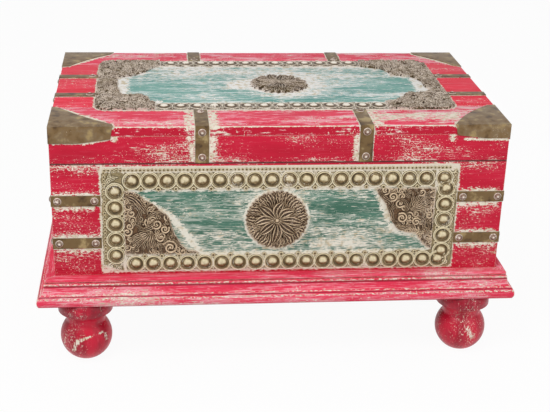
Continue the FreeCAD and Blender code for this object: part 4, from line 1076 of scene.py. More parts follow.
    def _onto_outline(self, x: np.ndarray, y: np.ndarray) -> tuple[np.ndarray, np.ndarray]:
        """The nearest places on the outline.

        Args:
            x: the points' first coordinates.
            y: the points' second coordinates.

        Returns:
            The nearest places' coordinates.
        """
        best = np.full(x.shape, np.inf)
        on_x, on_y = x.copy(), y.copy()
        for a, b in zip(self.outline, np.roll(self.outline, -1, axis=0)):
            way = b - a
            t = np.clip(((x - a[0]) * way[0] + (y - a[1]) * way[1]) / max(way @ way, 1e-9), 0, 1)
            px, py = a[0] + t * way[0], a[1] + t * way[1]
            gap = np.hypot(x - px, y - py)
            closer = gap < best
            best[closer], on_x[closer], on_y[closer] = gap[closer], px[closer], py[closer]
        return on_x, on_y

    def _closed(self, name: str, faces: np.ndarray, marks: dict[str, np.ndarray],
                lift: Callable[..., np.ndarray], grid: np.ndarray) -> Mesh:
        """Adds the sheet's edge down to the wood and its back.

        Args:
            name: the mesh's name.
            faces: the top's faces, as point numbers.
            marks: the numbers stored on its points.
            lift: turns the sheet's x, y and height into places in the chest.
            grid: the points' x, y and height.

        Returns:
            The closed mesh.
        """
        x, y, height = grid
        mesh = bpy.data.meshes.new(f"{name}_mesh")
        mesh.from_pydata((lift(x, y, height) * MM).tolist(), [], faces.tolist())
        for key, numbers in marks.items():
            mesh.attributes.new(key, "FLOAT", "POINT").data.foreach_set("value", numbers.astype(np.float32))
        shape = bmesh.new()
        shape.from_mesh(mesh)
        foot = lift(x, y, np.zeros_like(x)) * MM
        upper = {v.co.to_tuple(7): i for i, v in enumerate(shape.verts)}
        outer = [e for e in shape.edges if e.is_boundary]
        grown = bmesh.ops.extrude_edge_only(shape, edges=outer)["geom"]
        for vert in (v for v in grown if isinstance(v, bmesh.types.BMVert)):
            vert.co = Vector(foot[upper[vert.co.to_tuple(7)]])
        low_edges = [e for e in grown if isinstance(e, bmesh.types.BMEdge) and e.is_boundary]
        bmesh.ops.contextual_create(shape, geom=low_edges)
        bmesh.ops.recalc_face_normals(shape, faces=shape.faces)
        shape.to_mesh(mesh)
        shape.free()
        smooth_by_angle(mesh, 50)
        return mesh


def on_front(x: np.ndarray, y: np.ndarray, height: np.ndarray) -> np.ndarray:
    """Places on the front of the body: x from the middle, y up from the plinth's underside."""
    return np.stack([x, FRONT_FACE - height, PLINTH_FOOT + y], axis=1)


def on_face(x: float, height: float, out: float = 0.0) -> tuple[Place, Place]:
    """A place on the front for a small shape, a little way out from the wood, and the way it faces."""
    return (x, FRONT_FACE - out, PLINTH_FOOT + height), FRONT_WAY


def on_lid(x: np.ndarray, y: np.ndarray, height: np.ndarray) -> np.ndarray:
    """Places on the lid's top: x from the middle, y back from the front edge."""
    return np.stack([x, FRONT_FACE + y, LID_TOP + height], axis=1)


def hang(plate: EmbossedSheet, node: str, ending: str, body: Body, highest: float,
         finish: Material) -> Piece:
    """Lays a sheet on the front or on the lid in a CAD node's place, nothing on it above highest."""
    lift = on_front if body is Body.CHEST else on_lid
    return settle(new_piece(f"{node}_{ending}", plate.mesh(node, lift, highest)), body, [node], finish)


def wavy_strip(ends: Point, low: float, high: float, first: float, pitch: float, depth: float, count: int,
               upper: bool) -> list[Point]:
    """A strip with one edge that waves between its bosses.

    Args:
        ends: its left and right ends.
        low: its lower edge.
        high: its upper edge.
        first: the first boss's x.
        pitch: from one boss to the next.
        depth: half the waves' depth.
        count: how many points the wavy edge has.
        upper: whether that is the upper edge.

    Returns:
        The strip's outline, anticlockwise.
    """
    left, right = ends
    x = np.linspace(left, right, count)
    wave = depth * (1 - np.cos(2 * np.pi * (x - first) / pitch))
    if upper:
        edge = list(zip(x[::-1].tolist(), (high - 2 * depth + wave[::-1]).tolist()))
        return [(left, low), (right, low)] + edge
    return list(zip(x.tolist(), (low + 2 * depth - wave).tolist())) + [(right, high), (left, high)]


@dataclass(frozen=True)
class Turned:
    """A small turned shape: radius, height and lightness from its top out to its rim, the lightness partly patina and
    partly painted light: a painted highlight on the dome, painted shade in the grooves and a painted shadow on the
    lower side.
    """

    profile: tuple[Place, ...]
    sides: int
    shadow: float = 0.0
    shadow_reach: float = 1.0

    def mesh(self, name: str) -> Mesh:
        """The shape, its foot on z 0 and its axis up.

        Args:
            name: the mesh's name.

        Returns:
            The mesh, with its lightness on its points.
        """
        shape = bmesh.new()
        layer = shape.verts.layers.float.new("shade")
        rim = shape.verts.layers.float.new("rim")
        top = shape.verts.new((0, 0, self.profile[0][1] * MM))
        top[layer] = self.profile[0][2]
        rings = []
        for radius, height, light in self.profile[1:]:
            ring = []
            for k in range(self.sides):
                turn = 2 * math.pi * k / self.sides
                vert = shape.verts.new((radius * MM * math.cos(turn), radius * MM * math.sin(turn), height * MM))
                # Painted shadow: the lower side of each ring is darker, in waves.
                low_side = max(0.0, -math.sin(turn)) * min(1.0, radius / self.shadow_reach)
                wave = 0.75 + 0.25 * math.sin(5 * turn)
                vert[layer] = light - (self.shadow * low_side * wave if radius <= self.shadow_reach else 0.0)
                vert[rim] = 0.0
                ring.append(vert)
            rings.append(ring)
        for k in range(self.sides):
            after = (k + 1) % self.sides
            shape.faces.new((top, rings[0][k], rings[0][after]))
            for inner, outer in zip(rings, rings[1:]):
                shape.faces.new((inner[k], outer[k], outer[after], inner[after]))
        shape.faces.new(list(reversed(rings[-1])))
        return closed_mesh(shape, name, 60)


# Each row's third number is partly patina and partly painted light: pale tops are painted highlights and dark grooves
# painted shade.
FRONT_BOSS = Turned((
    (0, 6.0, 0.82), (2.4, 5.85, 0.86), (4.6, 5.35, 0.9), (6.4, 4.5, 0.84), (7.8, 3.4, 0.72), (8.8, 2.2, 0.4),
    (9.5, 1.2, 0.08), (10.4, 0.9, 0.0), (11.4, 1.5, 0.06), (12.4, 2.3, 0.14), (13.1, 2.6, 0.4), (13.9, 2.3, 0.95),
    (14.6, 1.4, 0.85), (15.0, 0.7, 0.15), (15.1, 0.2, 0.0),
), 28, 0.95, 7.8)
LID_BOSS = Turned((
    (0, 5.4, 0.98), (2.6, 5.2, 0.98), (5.0, 4.6, 0.95), (7.0, 3.6, 0.8), (8.2, 2.6, 0.3), (9.2, 1.6, 0.05),
    (10.6, 0.9, 0.0), (11.8, 1.5, 0.1), (12.8, 2.2, 0.5), (13.8, 2.0, 0.8), (14.5, 1.0, 0.3), (14.7, 0.2, 0.0),
), 24)
STUD = Turned(((0, 2.4, 0.0), (1.2, 2.3, 0.0), (2.0, 1.8, 0.2), (2.6, 2.2, 0.8), (3.4, 2.4, 0.95), (4.2, 1.6, 0.7),
               (4.6, 0.9, 0.3), (4.6, 0.2, 0.2)), 12)
BEAD = Turned(((0, 1.2, 0.0), (1.1, 1.2, 0.0), (1.7, 1.6, 0.4), (2.4, 1.9, 0.95), (3.1, 1.3, 0.8), (3.3, 0.2, 0.4)), 8)
NAIL = Turned((
    (0, 4.0, 0.92), (1.4, 3.9, 0.9), (2.6, 3.5, 0.6), (4.0, 2.9, 0.35), (5.2, 2.1, 0.2), (6.0, 1.4, 0.4),
    (6.7, 0.9, 0.95), (7.2, 0.45, 0.6), (7.5, 0.0, 0.1),
), 24, 0.35, 4.2)


class Repeater(Tree):
    """A Geometry Nodes tree that seats copies of one small shape on marked points."""

    def __init__(self) -> None:
        """Builds the tree once; each use sets its inputs."""
        super().__init__(bpy.data.node_groups.new("seated_shapes", "GeometryNodeTree"))
        face = self.tree.interface
        for name, kind in (
            ("Places", "Geometry"), ("Shape", "Object"), ("Finish", "Material"), ("Size jitter", "Float"),
            ("Tilt jitter", "Float"), ("Spin jitter", "Float"), ("Seed", "Int"),
        ):
            face.new_socket(name, in_out="INPUT", socket_type=f"NodeSocket{kind}")
        face.new_socket("Pieces", in_out="OUTPUT", socket_type="NodeSocketGeometry")
        self.sockets = {item.name: item.identifier for item in face.items_tree if item.in_out == "INPUT"}
        self.given = self.node("NodeGroupInput").outputs
        facing = self.node("GeometryNodeInputNamedAttribute", {"Name": "facing"}, data_type="FLOAT_VECTOR")
        align = self.node("FunctionNodeAlignRotationToVector", {"Vector": facing.outputs["Attribute"]}, axis="Z")
        turned = align.outputs["Rotation"]
        for key, axes in (("Tilt jitter", (1.0, 1.0, 0.0)), ("Spin jitter", (0.0, 0.0, 1.0))):
            feeds = {"Rotation": turned, "Rotate By": self._turns(self.given[key], axes)}
            turned = self.node("FunctionNodeRotateRotation", feeds, rotation_space="LOCAL").outputs["Rotation"]
        jitter = self.given["Size jitter"]
        size = self.node("FunctionNodeRandomValue", {
            2: self.sum("SUBTRACT", 1.0, jitter), 3: self.sum("ADD", 1.0, jitter), "Seed": self.given["Seed"],
        }, data_type="FLOAT")
        shape = self.node("GeometryNodeObjectInfo", {"Object": self.given["Shape"]})
        seated = self.node("GeometryNodeInstanceOnPoints", {
            "Points": self.given["Places"], "Instance": shape.outputs["Geometry"], "Rotation": turned,
            "Scale": size.outputs[1],
        })
        real = self.node("GeometryNodeRealizeInstances", {"Geometry": seated.outputs["Instances"]})
        dress = self.node("GeometryNodeSetMaterial", {
            "Geometry": real.outputs["Geometry"], "Material": self.given["Finish"],
        })
        self.node("NodeGroupOutput", {"Pieces": dress.outputs["Geometry"]})

    def _turns(self, most: Socket, axes: Place) -> Socket:
        """Random turns about some axes, each way up to an input.

        Args:
            most: the largest turn, in radians.
            axes: 1 for each axis that is turned about.

        Returns:
            Each copy's own turn.
        """
        backward = tuple(-a for a in axes)
        turns = self.node("FunctionNodeRandomValue", {
            0: self.longer(backward, most), 1: self.longer(axes, most), "Seed": self.given["Seed"],
        }, data_type="FLOAT_VECTOR")
        return turns.outputs[0]

    def seat(self, name: str, shape: Turned, places: Sequence[tuple[Place, Place]], finish: Material,
             size_jitter: float = 0.0, tilt_jitter: float = 0.0, spin_jitter: float = 0.0,
             seed: int = 1) -> Piece:
        """Seats copies of a shape and gives them back as one plain mesh.

        Args:
            name: the piece's name.
            shape: the shape, its foot on z 0.
            places: where each copy stands, in millimetres, and which way its top faces.
            finish: its material.
            size_jitter: how much the sizes differ.
            tilt_jitter: how far they lean, in radians.
            spin_jitter: how far they turn about their own axis, in radians.
            seed: fixes what is random.

        Returns:
            The piece, at the origin.
        """
        carrier_mesh = bpy.data.meshes.new(f"{name}_places")
        carrier_mesh.from_pydata([[c * MM for c in spot] for spot, _ in places], [], [])
        ways = carrier_mesh.attributes.new("facing", "FLOAT_VECTOR", "POINT")
        ways.data.foreach_set("vector", np.array([way for _, way in places], np.float32).ravel())
        carrier = new_piece(f"{name}_carrier", carrier_mesh)
        stencil = new_piece(f"{name}_stencil", shape.mesh(f"{name}_shape"))
        modifier = carrier.modifiers.new("seated", "NODES")
        modifier.node_group = self.tree
        for key, given in {"Shape": stencil, "Finish": finish, "Size jitter": size_jitter,
                           "Tilt jitter": tilt_jitter, "Spin jitter": spin_jitter, "Seed": seed}.items():
            modifier[self.sockets[key]] = given
        bpy.context.view_layer.update()
        graph = bpy.context.evaluated_depsgraph_get()
        mesh = bpy.data.meshes.new_from_object(carrier.evaluated_get(graph))
        mesh.name = f"{name}_mesh"
        carrier.modifiers.remove(modifier)
        bpy.data.objects.remove(carrier)
        bpy.data.objects.remove(stencil)
        return new_piece(name, mesh)


@dataclass
class Woodwork:
    """The painted boards, the plinth and the feet."""

    frame: dict[str, Any]
    red: Tone = (205, 28, 58)
    red_deep: Tone = (194, 24, 52)
    red_pale: Tone = (238, 124, 142)
    # The rose tones are paler partly from thinner paint and partly as a painted highlight on faces that look up.
    rose_thin_and_lit: Tone = (236, 62, 92)
    rose_thin_and_lit_deep: Tone = (226, 50, 80)
    rose_thin_and_lit_pale: Tone = (253, 190, 202)
    teal: Tone = (84, 126, 108)
    teal_deep: Tone = (66, 108, 90)
    teal_pale: Tone = (206, 212, 200)
    strap_rows: tuple[tuple[float, float], ...] = ((237.5, 258.5), (322.5, 343.5))
    border_low: Place = (-333.5, -260.0, 188.0)
    border_high: Place = (333.5, -240.0, 400.0)

    def red_paint(self, name: str, **changes: Any) -> Material:
        """The red of the upright faces, with some of its settings changed."""
        return Paint(name, self.red, self.red_deep, self.red_pale, **changes).material()

    def thin_and_lit_paint(self, name: str, **changes: Any) -> Material:
        """The paler red of the faces that look up, partly thinner paint and partly a painted highlight, with some of
        its settings changed.
        """
        return Paint(name, self.rose_thin_and_lit, self.rose_thin_and_lit_deep, self.rose_thin_and_lit_pale, **changes).material()

    def build(self) -> list[Piece]:
        """Builds and dresses every wooden piece."""
        return self.front() + self.sides() + self.plinth() + self.feet() + self.lid_rails() + self.lid_top()

    def front(self) -> list[Piece]:
        """The front frame and its teal panel.

        Returns:
            The pieces.
        """
        halos = [Halo(self.border_low, self.border_high[:2] + (394.0,), 6.0, 0.8)]
        for side in (-1, 1):
            for low, high in self.strap_rows:
                inner, outer = sorted((side * 334.0, side * 424.0))
                halos.append(Halo((inner, -260, low), (outer, -240, high), 4.0, 0.8))
                halos.append(Halo((inner + 10, -260, low - 3), (outer - 14, -240, high), 15.0, 0.72))
                halos.append(streaks((inner, -260, low - 22), (outer, -240, high), 12.0, 0.11))
        halos.append(streaks((-424, -260, 396), (424, -240, 404), 14.0, 0.08))
        # Painted shadow along the top edge, in the seam under the lid.
        halos.append(painted_shade((-424, -260, 403.8), (424, -240, 406), 1.2, 0.9))
        red = self.red_paint("red_front", halos=tuple(halos), dashes=0.28, flakes=0.54, brush=0.15, shift=2.0)
        nodes = ("front_left_stile", "front_right_stile", "front_top_rail", "front_bottom_rail")
        pieces = dressed(self.frame, Body.CHEST, dict.fromkeys(nodes, red), 0.6)
        rosette = (-7.5, -245.0, 291.0)
        worn = (
            Halo(rosette, rosette, 9.0, 0.9, Wear.RAGGED, 58.5),
            Halo(rosette, rosette, 40.0, 0.1, Wear.STREAKED, 58.0),
            Halo((-292, -260, 352), (292, -240, 400), 6.0, 0.8),
            Halo((-292, -260, 188), (292, -240, 224), 7.0, 0.8),
            scratch((-150, -245, 226), (-206, -245, 300), 16.0, 0.9),
            scratch((-206, -245, 300), (-288, -245, 352), 16.0, 0.9),
            scratch((182, -245, 350), (206, -245, 290), 18.0, 0.95),
            scratch((212, -245, 272), (262, -245, 258), 18.0, 0.9),
            scratch((262, -245, 258), (290, -245, 226), 14.0, 0.9),
            streaks((-180, -260, 240), (-70, -240, 262), 16.0, 0.12),
            streaks((60, -260, 236), (262, -240, 266), 16.0, 0.12),
            streaks((60, -260, 336), (184, -240, 352), 12.0, 0.08),
            streaks((60, -260, 262), (210, -240, 336), 20.0, 0.045),
        )
        teal = Paint("teal_front", self.teal, self.teal_deep, self.teal_pale, undercoat=(236, 232, 218),
                     dashes=0.7, flakes=0.5, brush=0.7, shift=5.0, halos=worn).material()
        return pieces + dressed(self.frame, Body.CHEST, {"front_panel": teal}, 0.4)

    def sides(self) -> list[Piece]:
        """The end boards, the back and the bottom.

        Returns:
            The pieces.
        """
        halos = []
        for side in (-1, 1):
            for low, high in self.strap_rows:
                inner, outer = sorted((side * 400.0, side * 430.0))
                halos.append(Halo((inner, -246, low), (outer, -157, high), 5.0))
                halos.append(Halo((inner, -240, low - 5), (outer, -165, high), 13.0, 0.9))
        ends = self.red_paint("red_ends", grain=Grain.ALONG_DEPTH, shift=9.0, halos=tuple(halos), dashes=0.34,
                              brush=0.25)
        back = self.red_paint("red_back", shift=14.0, dashes=0.34, brush=0.25)
        boards = {"left_end_board": ends, "right_end_board": ends, "back_board": back}
        bare = {"bottom_board": BareWood("bare_boards").material()}
        return (dressed(self.frame, Body.CHEST, boards, 0.7)
                + dressed(self.frame, Body.CHEST, bare, 0.3))

    def plinth(self) -> list[Piece]:
        """The four mitred lengths of moulding.

        Returns:
            The pieces.
        """
        # The darker rows are painted shadow lines in the moulding's quirks and the ragged rows are worn paint; the tone
        # (156, 22, 48) is the painted shadow's.
        lines = tuple(
            Halo((-500, -400, low), (500, 400, high), reach, strength, wear) for low, high, reach, strength, wear in (
                (174.0, 175.6, 0.9, 0.6, Wear.STAINED), (166.6, 168.0, 1.0, 1.0, Wear.STAINED),
                (150.2, 151.2, 0.9, 1.0, Wear.STAINED), (130.0, 130.8, 1.2, 0.9, Wear.STAINED),
                (170.0, 172.4, 1.2, 0.52, Wear.RAGGED), (145.6, 147.6, 1.6, 0.5, Wear.RAGGED),
                (152.6, 153.6, 0.8, 0.46, Wear.RAGGED),
            )
        )
        tones: dict[str, Any] = dict(dashes=0.4, flakes=0.5, brush=0.6, edge_wear=0.8, halos=lines, stain=(156, 22, 48))
        long = self.thin_and_lit_paint("red_plinth_front", shift=21.0, **tones)
        rear = self.thin_and_lit_paint("red_plinth_back", shift=23.0, **tones)
        short = self.thin_and_lit_paint("red_plinth_ends", shift=25.0, grain=Grain.ALONG_DEPTH, **tones)
        finishes = {"plinth_front": long, "plinth_back": rear, "plinth_left": short, "plinth_right": short}
        return dressed(self.frame, Body.CHEST, finishes, 0.35, 40.0)

    def feet(self) -> list[Piece]:
        """The four turned feet.

        Returns:
            The pieces.
        """
        # Painted shade: a darker band round each foot's collar, under the plinth.
        collar_shade = tuple(
            painted_shade((x * 370 - 60, y * 224 - 60, 106), (x * 370 + 60, y * 224 + 60, 134), 8.0, 0.45)
            for x in (-1, 1) for y in (-1, 1)
        )
        scratches = (
            scratch((-393, -266, 33), (-384, -271, 54), 9.0, 0.74),
            scratch((-384, -271, 54), (-366, -271, 62), 7.0, 0.78),
            scratch((-366, -271, 62), (-337, -256, 66), 5.0, 0.78),
            scratch((-331, -253, 50), (-331, -253, 60), 8.0, 0.7),
            scratch((373, -271, 61), (384, -271, 43), 14.0, 0.62),
        )
        turned = Paint("red_feet", (206, 20, 54), (164, 8, 38), (230, 100, 122), grain=Grain.UPRIGHT, shift=33.0,
                       dashes=0.26, flakes=0.58, brush=0.15, edge_wear=0.8, halos=collar_shade + scratches, gloss=0.36,
                       stain=(116, 8, 30), shine=0.34).material()
        nodes = ("foot_front_left", "foot_front_right", "foot_back_left", "foot_back_right")
        return dressed(self.frame, Body.CHEST, dict.fromkeys(nodes, turned), 0.0, 40.0, keep_edges=True)

    def lid_rails(self) -> list[Piece]:
        """The lid's four upright rails.

        Returns:
            The pieces.
        """
        halos = (
            around("lid_front_strap_left", 4.0, 0.8), around("lid_front_strap_right", 4.0, 0.8),
            Halo((-136, -260, 418), (-130, -240, 470), 22.0, 0.72), Halo((135, -260, 410), (142, -240, 462), 12.0, 0.7),
            Halo((-166, -260, 412), (-160, -240, 440), 14.0, 0.7),
            Halo((-172, -260, 452), (-160, -240, 474), 16.0, 0.62),
            scratch((-424, -245, 445), (-360, -245, 445), 5.0, 0.85),
            scratch((-360, -245, 445), (-310, -245, 454), 7.0, 0.9),
            scratch((-305, -245, 452), (-300, -245, 476), 12.0, 0.8),
            scratch((424, -245, 447), (340, -245, 448), 6.0, 0.85),
            scratch((316, -245, 450), (318, -245, 476), 14.0, 0.85),
            streaks((-423, -260, 404), (423, -240, 412), 14.0, 0.09),
            streaks((-330, -260, 404), (-180, -240, 438), 16.0, 0.09),
            streaks((180, -260, 416), (410, -240, 430), 12.0, 0.08),
            # Painted shadow along the lower edge, in the seam above the body.
            painted_shade((-423, -260, 404.5), (423, -240, 405.5), 3.0, 0.7),
        )
        rails = self.red_paint("red_lid_rails", shift=53.0, dashes=0.22, flakes=0.58, brush=0.12, halos=halos)
        ends = self.red_paint("red_lid_end_rails", shift=57.0, dashes=0.34, flakes=0.66, brush=0.25,
                              grain=Grain.ALONG_DEPTH)
        finishes = {"lid_front_rail": rails, "lid_back_rail": rails, "lid_left_rail": ends, "lid_right_rail": ends}
        return dressed(self.frame, Body.LID, finishes, 0.7)

    def lid_top(self) -> list[Piece]:
        """The boards round the lid's top and its teal panel.

        Returns:
            The pieces.
        """
        brass = Halo((-318, -124, 470), (318, 149, 485), 7.0, 0.9, Wear.RAGGED, 28.0)
        straps = [around(node, 5.0, 0.85) for node in (
            "lid_front_strap_left", "lid_front_strap_right", "lid_back_strap_left", "lid_back_strap_right")]
        for side in (-1, 1):
            for y in (-55.0, 67.0):
                inner, outer = sorted((side * 346.5, side * 424.0))
                straps.append(Halo((inner, y - 10.5, 470), (outer, y + 10.5, 485), 5.0, 0.85))
        worn = (
            brass, *straps, *self._cap_edges(),
            Halo((-136, -245, 475), (-124, -165, 485), 16.0, 0.72),
            Halo((-172, -245, 475), (-160, -150, 485), 18.0, 0.64),
            Halo((166, -235, 475), (178, -165, 485), 22.0, 0.7),
            scratch((-424, -244.6, 475.4), (424, -244.6, 475.4), 3.2, 0.85),
            streaks((190, -215, 470), (330, -185, 485), 22.0, 0.14),
        )
        # Painted highlight: the lid boards' tops take the paler rose, and their sides below the top edge take the
        # front's darker red.
        sides = (474.6, self.red_deep, self.red)
        inside = ((-422.0, -243.5, 440.0), (422.0, 243.5, 473.0))
        front = self.thin_and_lit_paint("thin_and_lit_rose_lid_front", shift=41.0, dashes=0.6, flakes=0.55, brush=0.8, halos=worn,
                                below=sides, fine=0.4, hidden=inside)
        ends = Paint("thin_and_lit_rose_lid_ends", (238, 46, 72), (228, 34, 60), (246, 136, 152), shift=47.0, dashes=0.4,
                     flakes=0.4, brush=0.34, halos=worn, below=sides, fine=0.4, hidden=inside).material()
        boards = {"lid_front_board": front, "lid_back_board": front, "lid_left_board": ends, "lid_right_board": ends}
        return dressed(self.frame, Body.LID, boards, 0.7) + self._lid_panel()

    def _cap_edges(self) -> list[Halo]:
        """The bare lines along the corner caps' inner edges.

        Returns:
            The lines, three for each cap.
        """
        corners = (
            ((-424, -130), (-410, -138), (-311, -232), (-308, -247)),
            ((424, -129), (410, -132), (327, -232), (319, -247)),
            ((424, 137), (410, 145), (340, 232), (337, 247)),
            ((-424, 139), (-410, 142), (-329, 232), (-321, 247)),
        )
        return [scratch((*start, 476), (*end, 476), 11.0, 0.9)
                for corner in corners for start, end in zip(corner, corner[1:])]

    def _lid_panel(self) -> list[Piece]:
        """The teal panel in the lid's top.

        Returns:
            The panel, alone in a list.
        """
        middle = (17.0, 10.0, 475.6)
        worn = (
            Halo(middle, middle, 16.0, 1.0, Wear.RAGGED, 58.0),
            Halo((-80, -10, 470), (-20, 20, 485), 22.0, 0.9),
            Halo(middle, middle, 60.0, 0.12, Wear.STREAKED, 60.0),
            Halo((-240, -152, 470), (215, -110, 485), 8.0), Halo((-225, 135, 470), (208, 177, 485), 7.0),
            Halo((-346, -62, 470), (-300, 64, 485), 34.0), Halo((-346, -100, 470), (-256, -62, 485), 13.0),
            Halo((-346, -140, 470), (-226, -100, 485), 16.0), Halo((-346, 90, 470), (-258, 177, 485), 16.0),
            Halo((300, -62, 470), (346, 64, 485), 20.0), Halo((256, -100, 470), (346, -62, 485), 16.0),
            Halo((214, -140, 470), (346, -112, 485), 16.0), Halo((262, 70, 470), (346, 177, 485), 22.0),
            streaks((-300, 60, 470), (300, 140, 485), 26.0, 0.1),
        )
        teal = Paint("teal_lid", (120, 170, 160), (96, 152, 144), (216, 228, 226), undercoat=(244, 242, 238),
                     dashes=0.88, flakes=0.5, brush=0.9, shift=61.0, halos=worn, fine=0.5,
                     below=(470.0, (150, 110, 72), (176, 138, 98)),
                     hidden=((-422.0, -243.5, 440.0), (422.0, 243.5, 472.0))).material()
        return dressed(self.frame, Body.LID, {"lid_panel": teal}, 0.4)


def rosette(centre: Point, radius: float, seed: int, teeth: int, notch: float, petals: int,
            outer_ring: int) -> EmbossedSheet:
    """A rosette: smooth inner petals over a ring of serrated leaves.

    Args:
        centre: its middle.
        radius: to the leaves' tips.
        seed: fixes what is random.
        teeth: how many points its edge has.
        notch: how deep the edge is cut between them.
        petals: how many inner petals it has.
        outer_ring: how many leaves the ring has.

    Returns:
        The embossed sheet.
    """

    def at(reach: float, turn: float) -> Point:
        """The place at a distance from the middle and an angle in radians."""
        return (centre[0] + reach * math.cos(turn), centre[1] + reach * math.sin(turn))

    random = np.random.default_rng(seed)
    outline = []
    for k in range(teeth * 6):
        turn = 2 * math.pi * k / (teeth * 6)
        outline.append(at(radius - notch / 2 + notch / 2 * math.cos(teeth * turn), turn))
    plate = EmbossedSheet(outline, 0.65, seed)
    for k in range(outer_ring):
        turn = 2 * math.pi * (k + 0.5) / outer_ring + random.uniform(-0.08, 0.08)
        line = [at(24, turn - 0.15), at(44, turn + random.uniform(-0.16, 0.16)), at(radius - 0.6, turn)]
        plate.leaf(line, 190 / outer_ring, 5.2 + random.uniform(-1.0, 0.4), 4, 0.6)
    for k in range(petals):
        turn = 2 * math.pi * k / petals + random.uniform(-0.13, 0.13)
        tip = random.uniform(38, 54)
        bend = random.uniform(-0.16, 0.16)
        plate.leaf([at(4, turn), at(0.5 * tip, turn + bend), at(tip, turn - bend)], 74 / petals, 6.8, 0, 0.56)
        plate.rope([at(7, turn), at(0.5 * tip, turn + bend), at(tip - 3, turn - bend)], 0.9, 7.4)
        edge = turn + math.pi / petals
        plate.rope([at(8, edge), at(24, edge + 0.03), at(44, edge)], 0.8, 6.6)
    plate.ring(centre, 6.2, 1.1, 7.0)
    plate.button(centre, 4.8, 8.0)
    plate.hammered(0.32, 3.0)
    return plate


@dataclass
class FrontBrass:
    """The border, the scroll sheets and the rosette on the front of the body."""

    repeater: Repeater
    half_width: float = 333.5
    field_half: float = 291.5
    foot: float = 58.0
    head: float = 270.0
    field_foot: float = 94.0
    field_head: float = 222.0
    pitch: float = 32.2
    row_count: int = 18
    top_row: Point = (-276.2, 242.0)
    bottom_row: Point = (-271.2, 75.0)
    column_head: float = 221.0
    column_count: int = 5
    left_column: float = -307.5
    right_column: float = 311.5
    bead_spacing: float = 7.2

    def build(self) -> list[Piece]:
        """Builds and dresses the front's brass.

        Returns:
            The pieces.
        """
        browner = (
            Halo((230, -260, 188), (300, -240, 224), 60.0, 0.4), Halo((292, -260, 188), (330, -240, 330), 30.0, 0.35),
            Halo((-320, -260, 230), (-292, -240, 400), 16.0, 0.35),
            Halo((-292, -260, 356), (-160, -240, 384), 10.0, 0.3),
            Halo((-334, -260, 389), (334, -240, 400), 3.0, -0.5),
        )
        sheet = Brass("brass_front_border", (76, 62, 38), (158, 140, 100), (232, 220, 188),
                      residue=(232, 222, 204), residue_amount=0.5, residue_reach=0.05, patina_amount=0.3, shift=2.0,
                      metallic=0.2, clean=browner).material()
        boss = Brass("brass_front_bosses", (78, 64, 38), (146, 126, 86), (228, 214, 178),
                     residue=(230, 220, 202), residue_amount=0.32, patina=(116, 90, 52), patina_amount=0.6,
                     roughness=0.4, metallic=0.3, shift=4.0).material()
        leaf = Brass("brass_front_leaves", (46, 28, 16), (110, 78, 46), (214, 190, 158),
                     residue=(216, 198, 178), residue_amount=0.26, patina=(96, 72, 50), shift=6.0,
                     metallic=0.25).material()
        return self.border(sheet, boss) + self.scrolls(leaf) + self.rosette(leaf)

    def border(self, sheet: Material, boss: Material) -> list[Piece]:
        """The four strips with their bosses, studs and beads.

        Args:
            sheet: the strips' material.
            boss: the bosses' material.

        Returns:
            The pieces.
        """
        outlines: dict[str, list[Point]] = {
            "front_border_top": self._strip(self.field_head, self.head, self.top_row, upper=False),
            "front_border_bottom": self._strip(self.foot, self.field_foot, self.bottom_row, upper=True),
            "front_border_left": [
                (-self.half_width, self.foot + 14), (-self.half_width + 40, self.foot), (-self.field_half, self.foot),
                (-self.field_half, self.head), (-self.half_width, self.head),
            ],
            "front_border_right": [
                (self.field_half, self.foot), (self.half_width - 6, self.foot), (self.half_width, self.foot + 6),
                (self.half_width, self.head), (self.field_half, self.head),
            ],
        }
        bosses = self.boss_places()
        pieces = []
        for seed, (node, outline) in enumerate(outlines.items()):
            plate = EmbossedSheet(outline, 0.75, seed)
            for spot in bosses:
                plate.ring(spot, 16.6, 1.3, 2.2)
            self._small_ornament(plate, node)
            plate.hammered(0.14, 6.0)
            pieces.append(hang(plate, node, "sheet", Body.CHEST, 2.4, sheet))
        for copies in (self._bosses(boss), self._studs(boss), self._beads(boss)):
            pieces.append(settle(copies, Body.CHEST, []))
        return pieces

    def _small_ornament(self, plate: EmbossedSheet, node: str) -> None:
        """Beats the darts between the bosses and the leaves in the corners.

        Args:
            plate: the strip's sheet.
            node: the strip's CAD node.
        """
        if node == "front_border_left":
            plate.leaf([(-326, 238), (-314, 246), (-301, 250)], 5.0, 2.4, 3)
            plate.leaf([(-326, 232), (-318, 246), (-316, 262)], 4.4, 2.4, 3)
            plate.scroll((-318, 70), 6.0, 1.1, 40, 2.2, 1.2)
            plate.leaf([(-309, 60), (-302, 66), (-296, 76)], 4.0, 2.2, 2)
        if node == "front_border_right":
            plate.scroll((322, 258), 6.5, 1.2, 200, 2.2, 1.2)
            plate.scroll((322, 68), 6.0, 1.1, 120, 2.2, 1.2)
        darts = {
            "front_border_top": (self.top_row[0], (248, 255, 262), 3.0),
            "front_border_bottom": (self.bottom_row[0], (71, 66, 60), 2.6),
        }
        if node in darts:
            first, heights, half_width = darts[node]
            for k in range(self.row_count - 1):
                x = first + (k + 0.5) * self.pitch
                plate.leaf([(x, height) for height in heights], half_width, 2.2)

    def _strip(self, low: float, high: float, row: Point, upper: bool) -> list[Point]:
        """The outline of the strip round a row of bosses, its inner edge wavy."""
        return wavy_strip((-self.field_half, self.field_half), low, high, row[0], self.pitch, 1.4, 260, upper)

    def boss_places(self) -> list[Point]:
        """Where the bosses' middles are.

        Returns:
            Their x and their height above the plinth's underside, in millimetres.
        """
        rows = [(start[0] + k * self.pitch, start[1]) for start in (self.top_row, self.bottom_row)
                for k in range(self.row_count)]
        columns = [(x, self.column_head - k * self.pitch) for x in (self.left_column, self.right_column)
                   for k in range(self.column_count)]
        corners = [(306.0, 242.0), (306.0, 75.0)]
        return rows + columns + corners

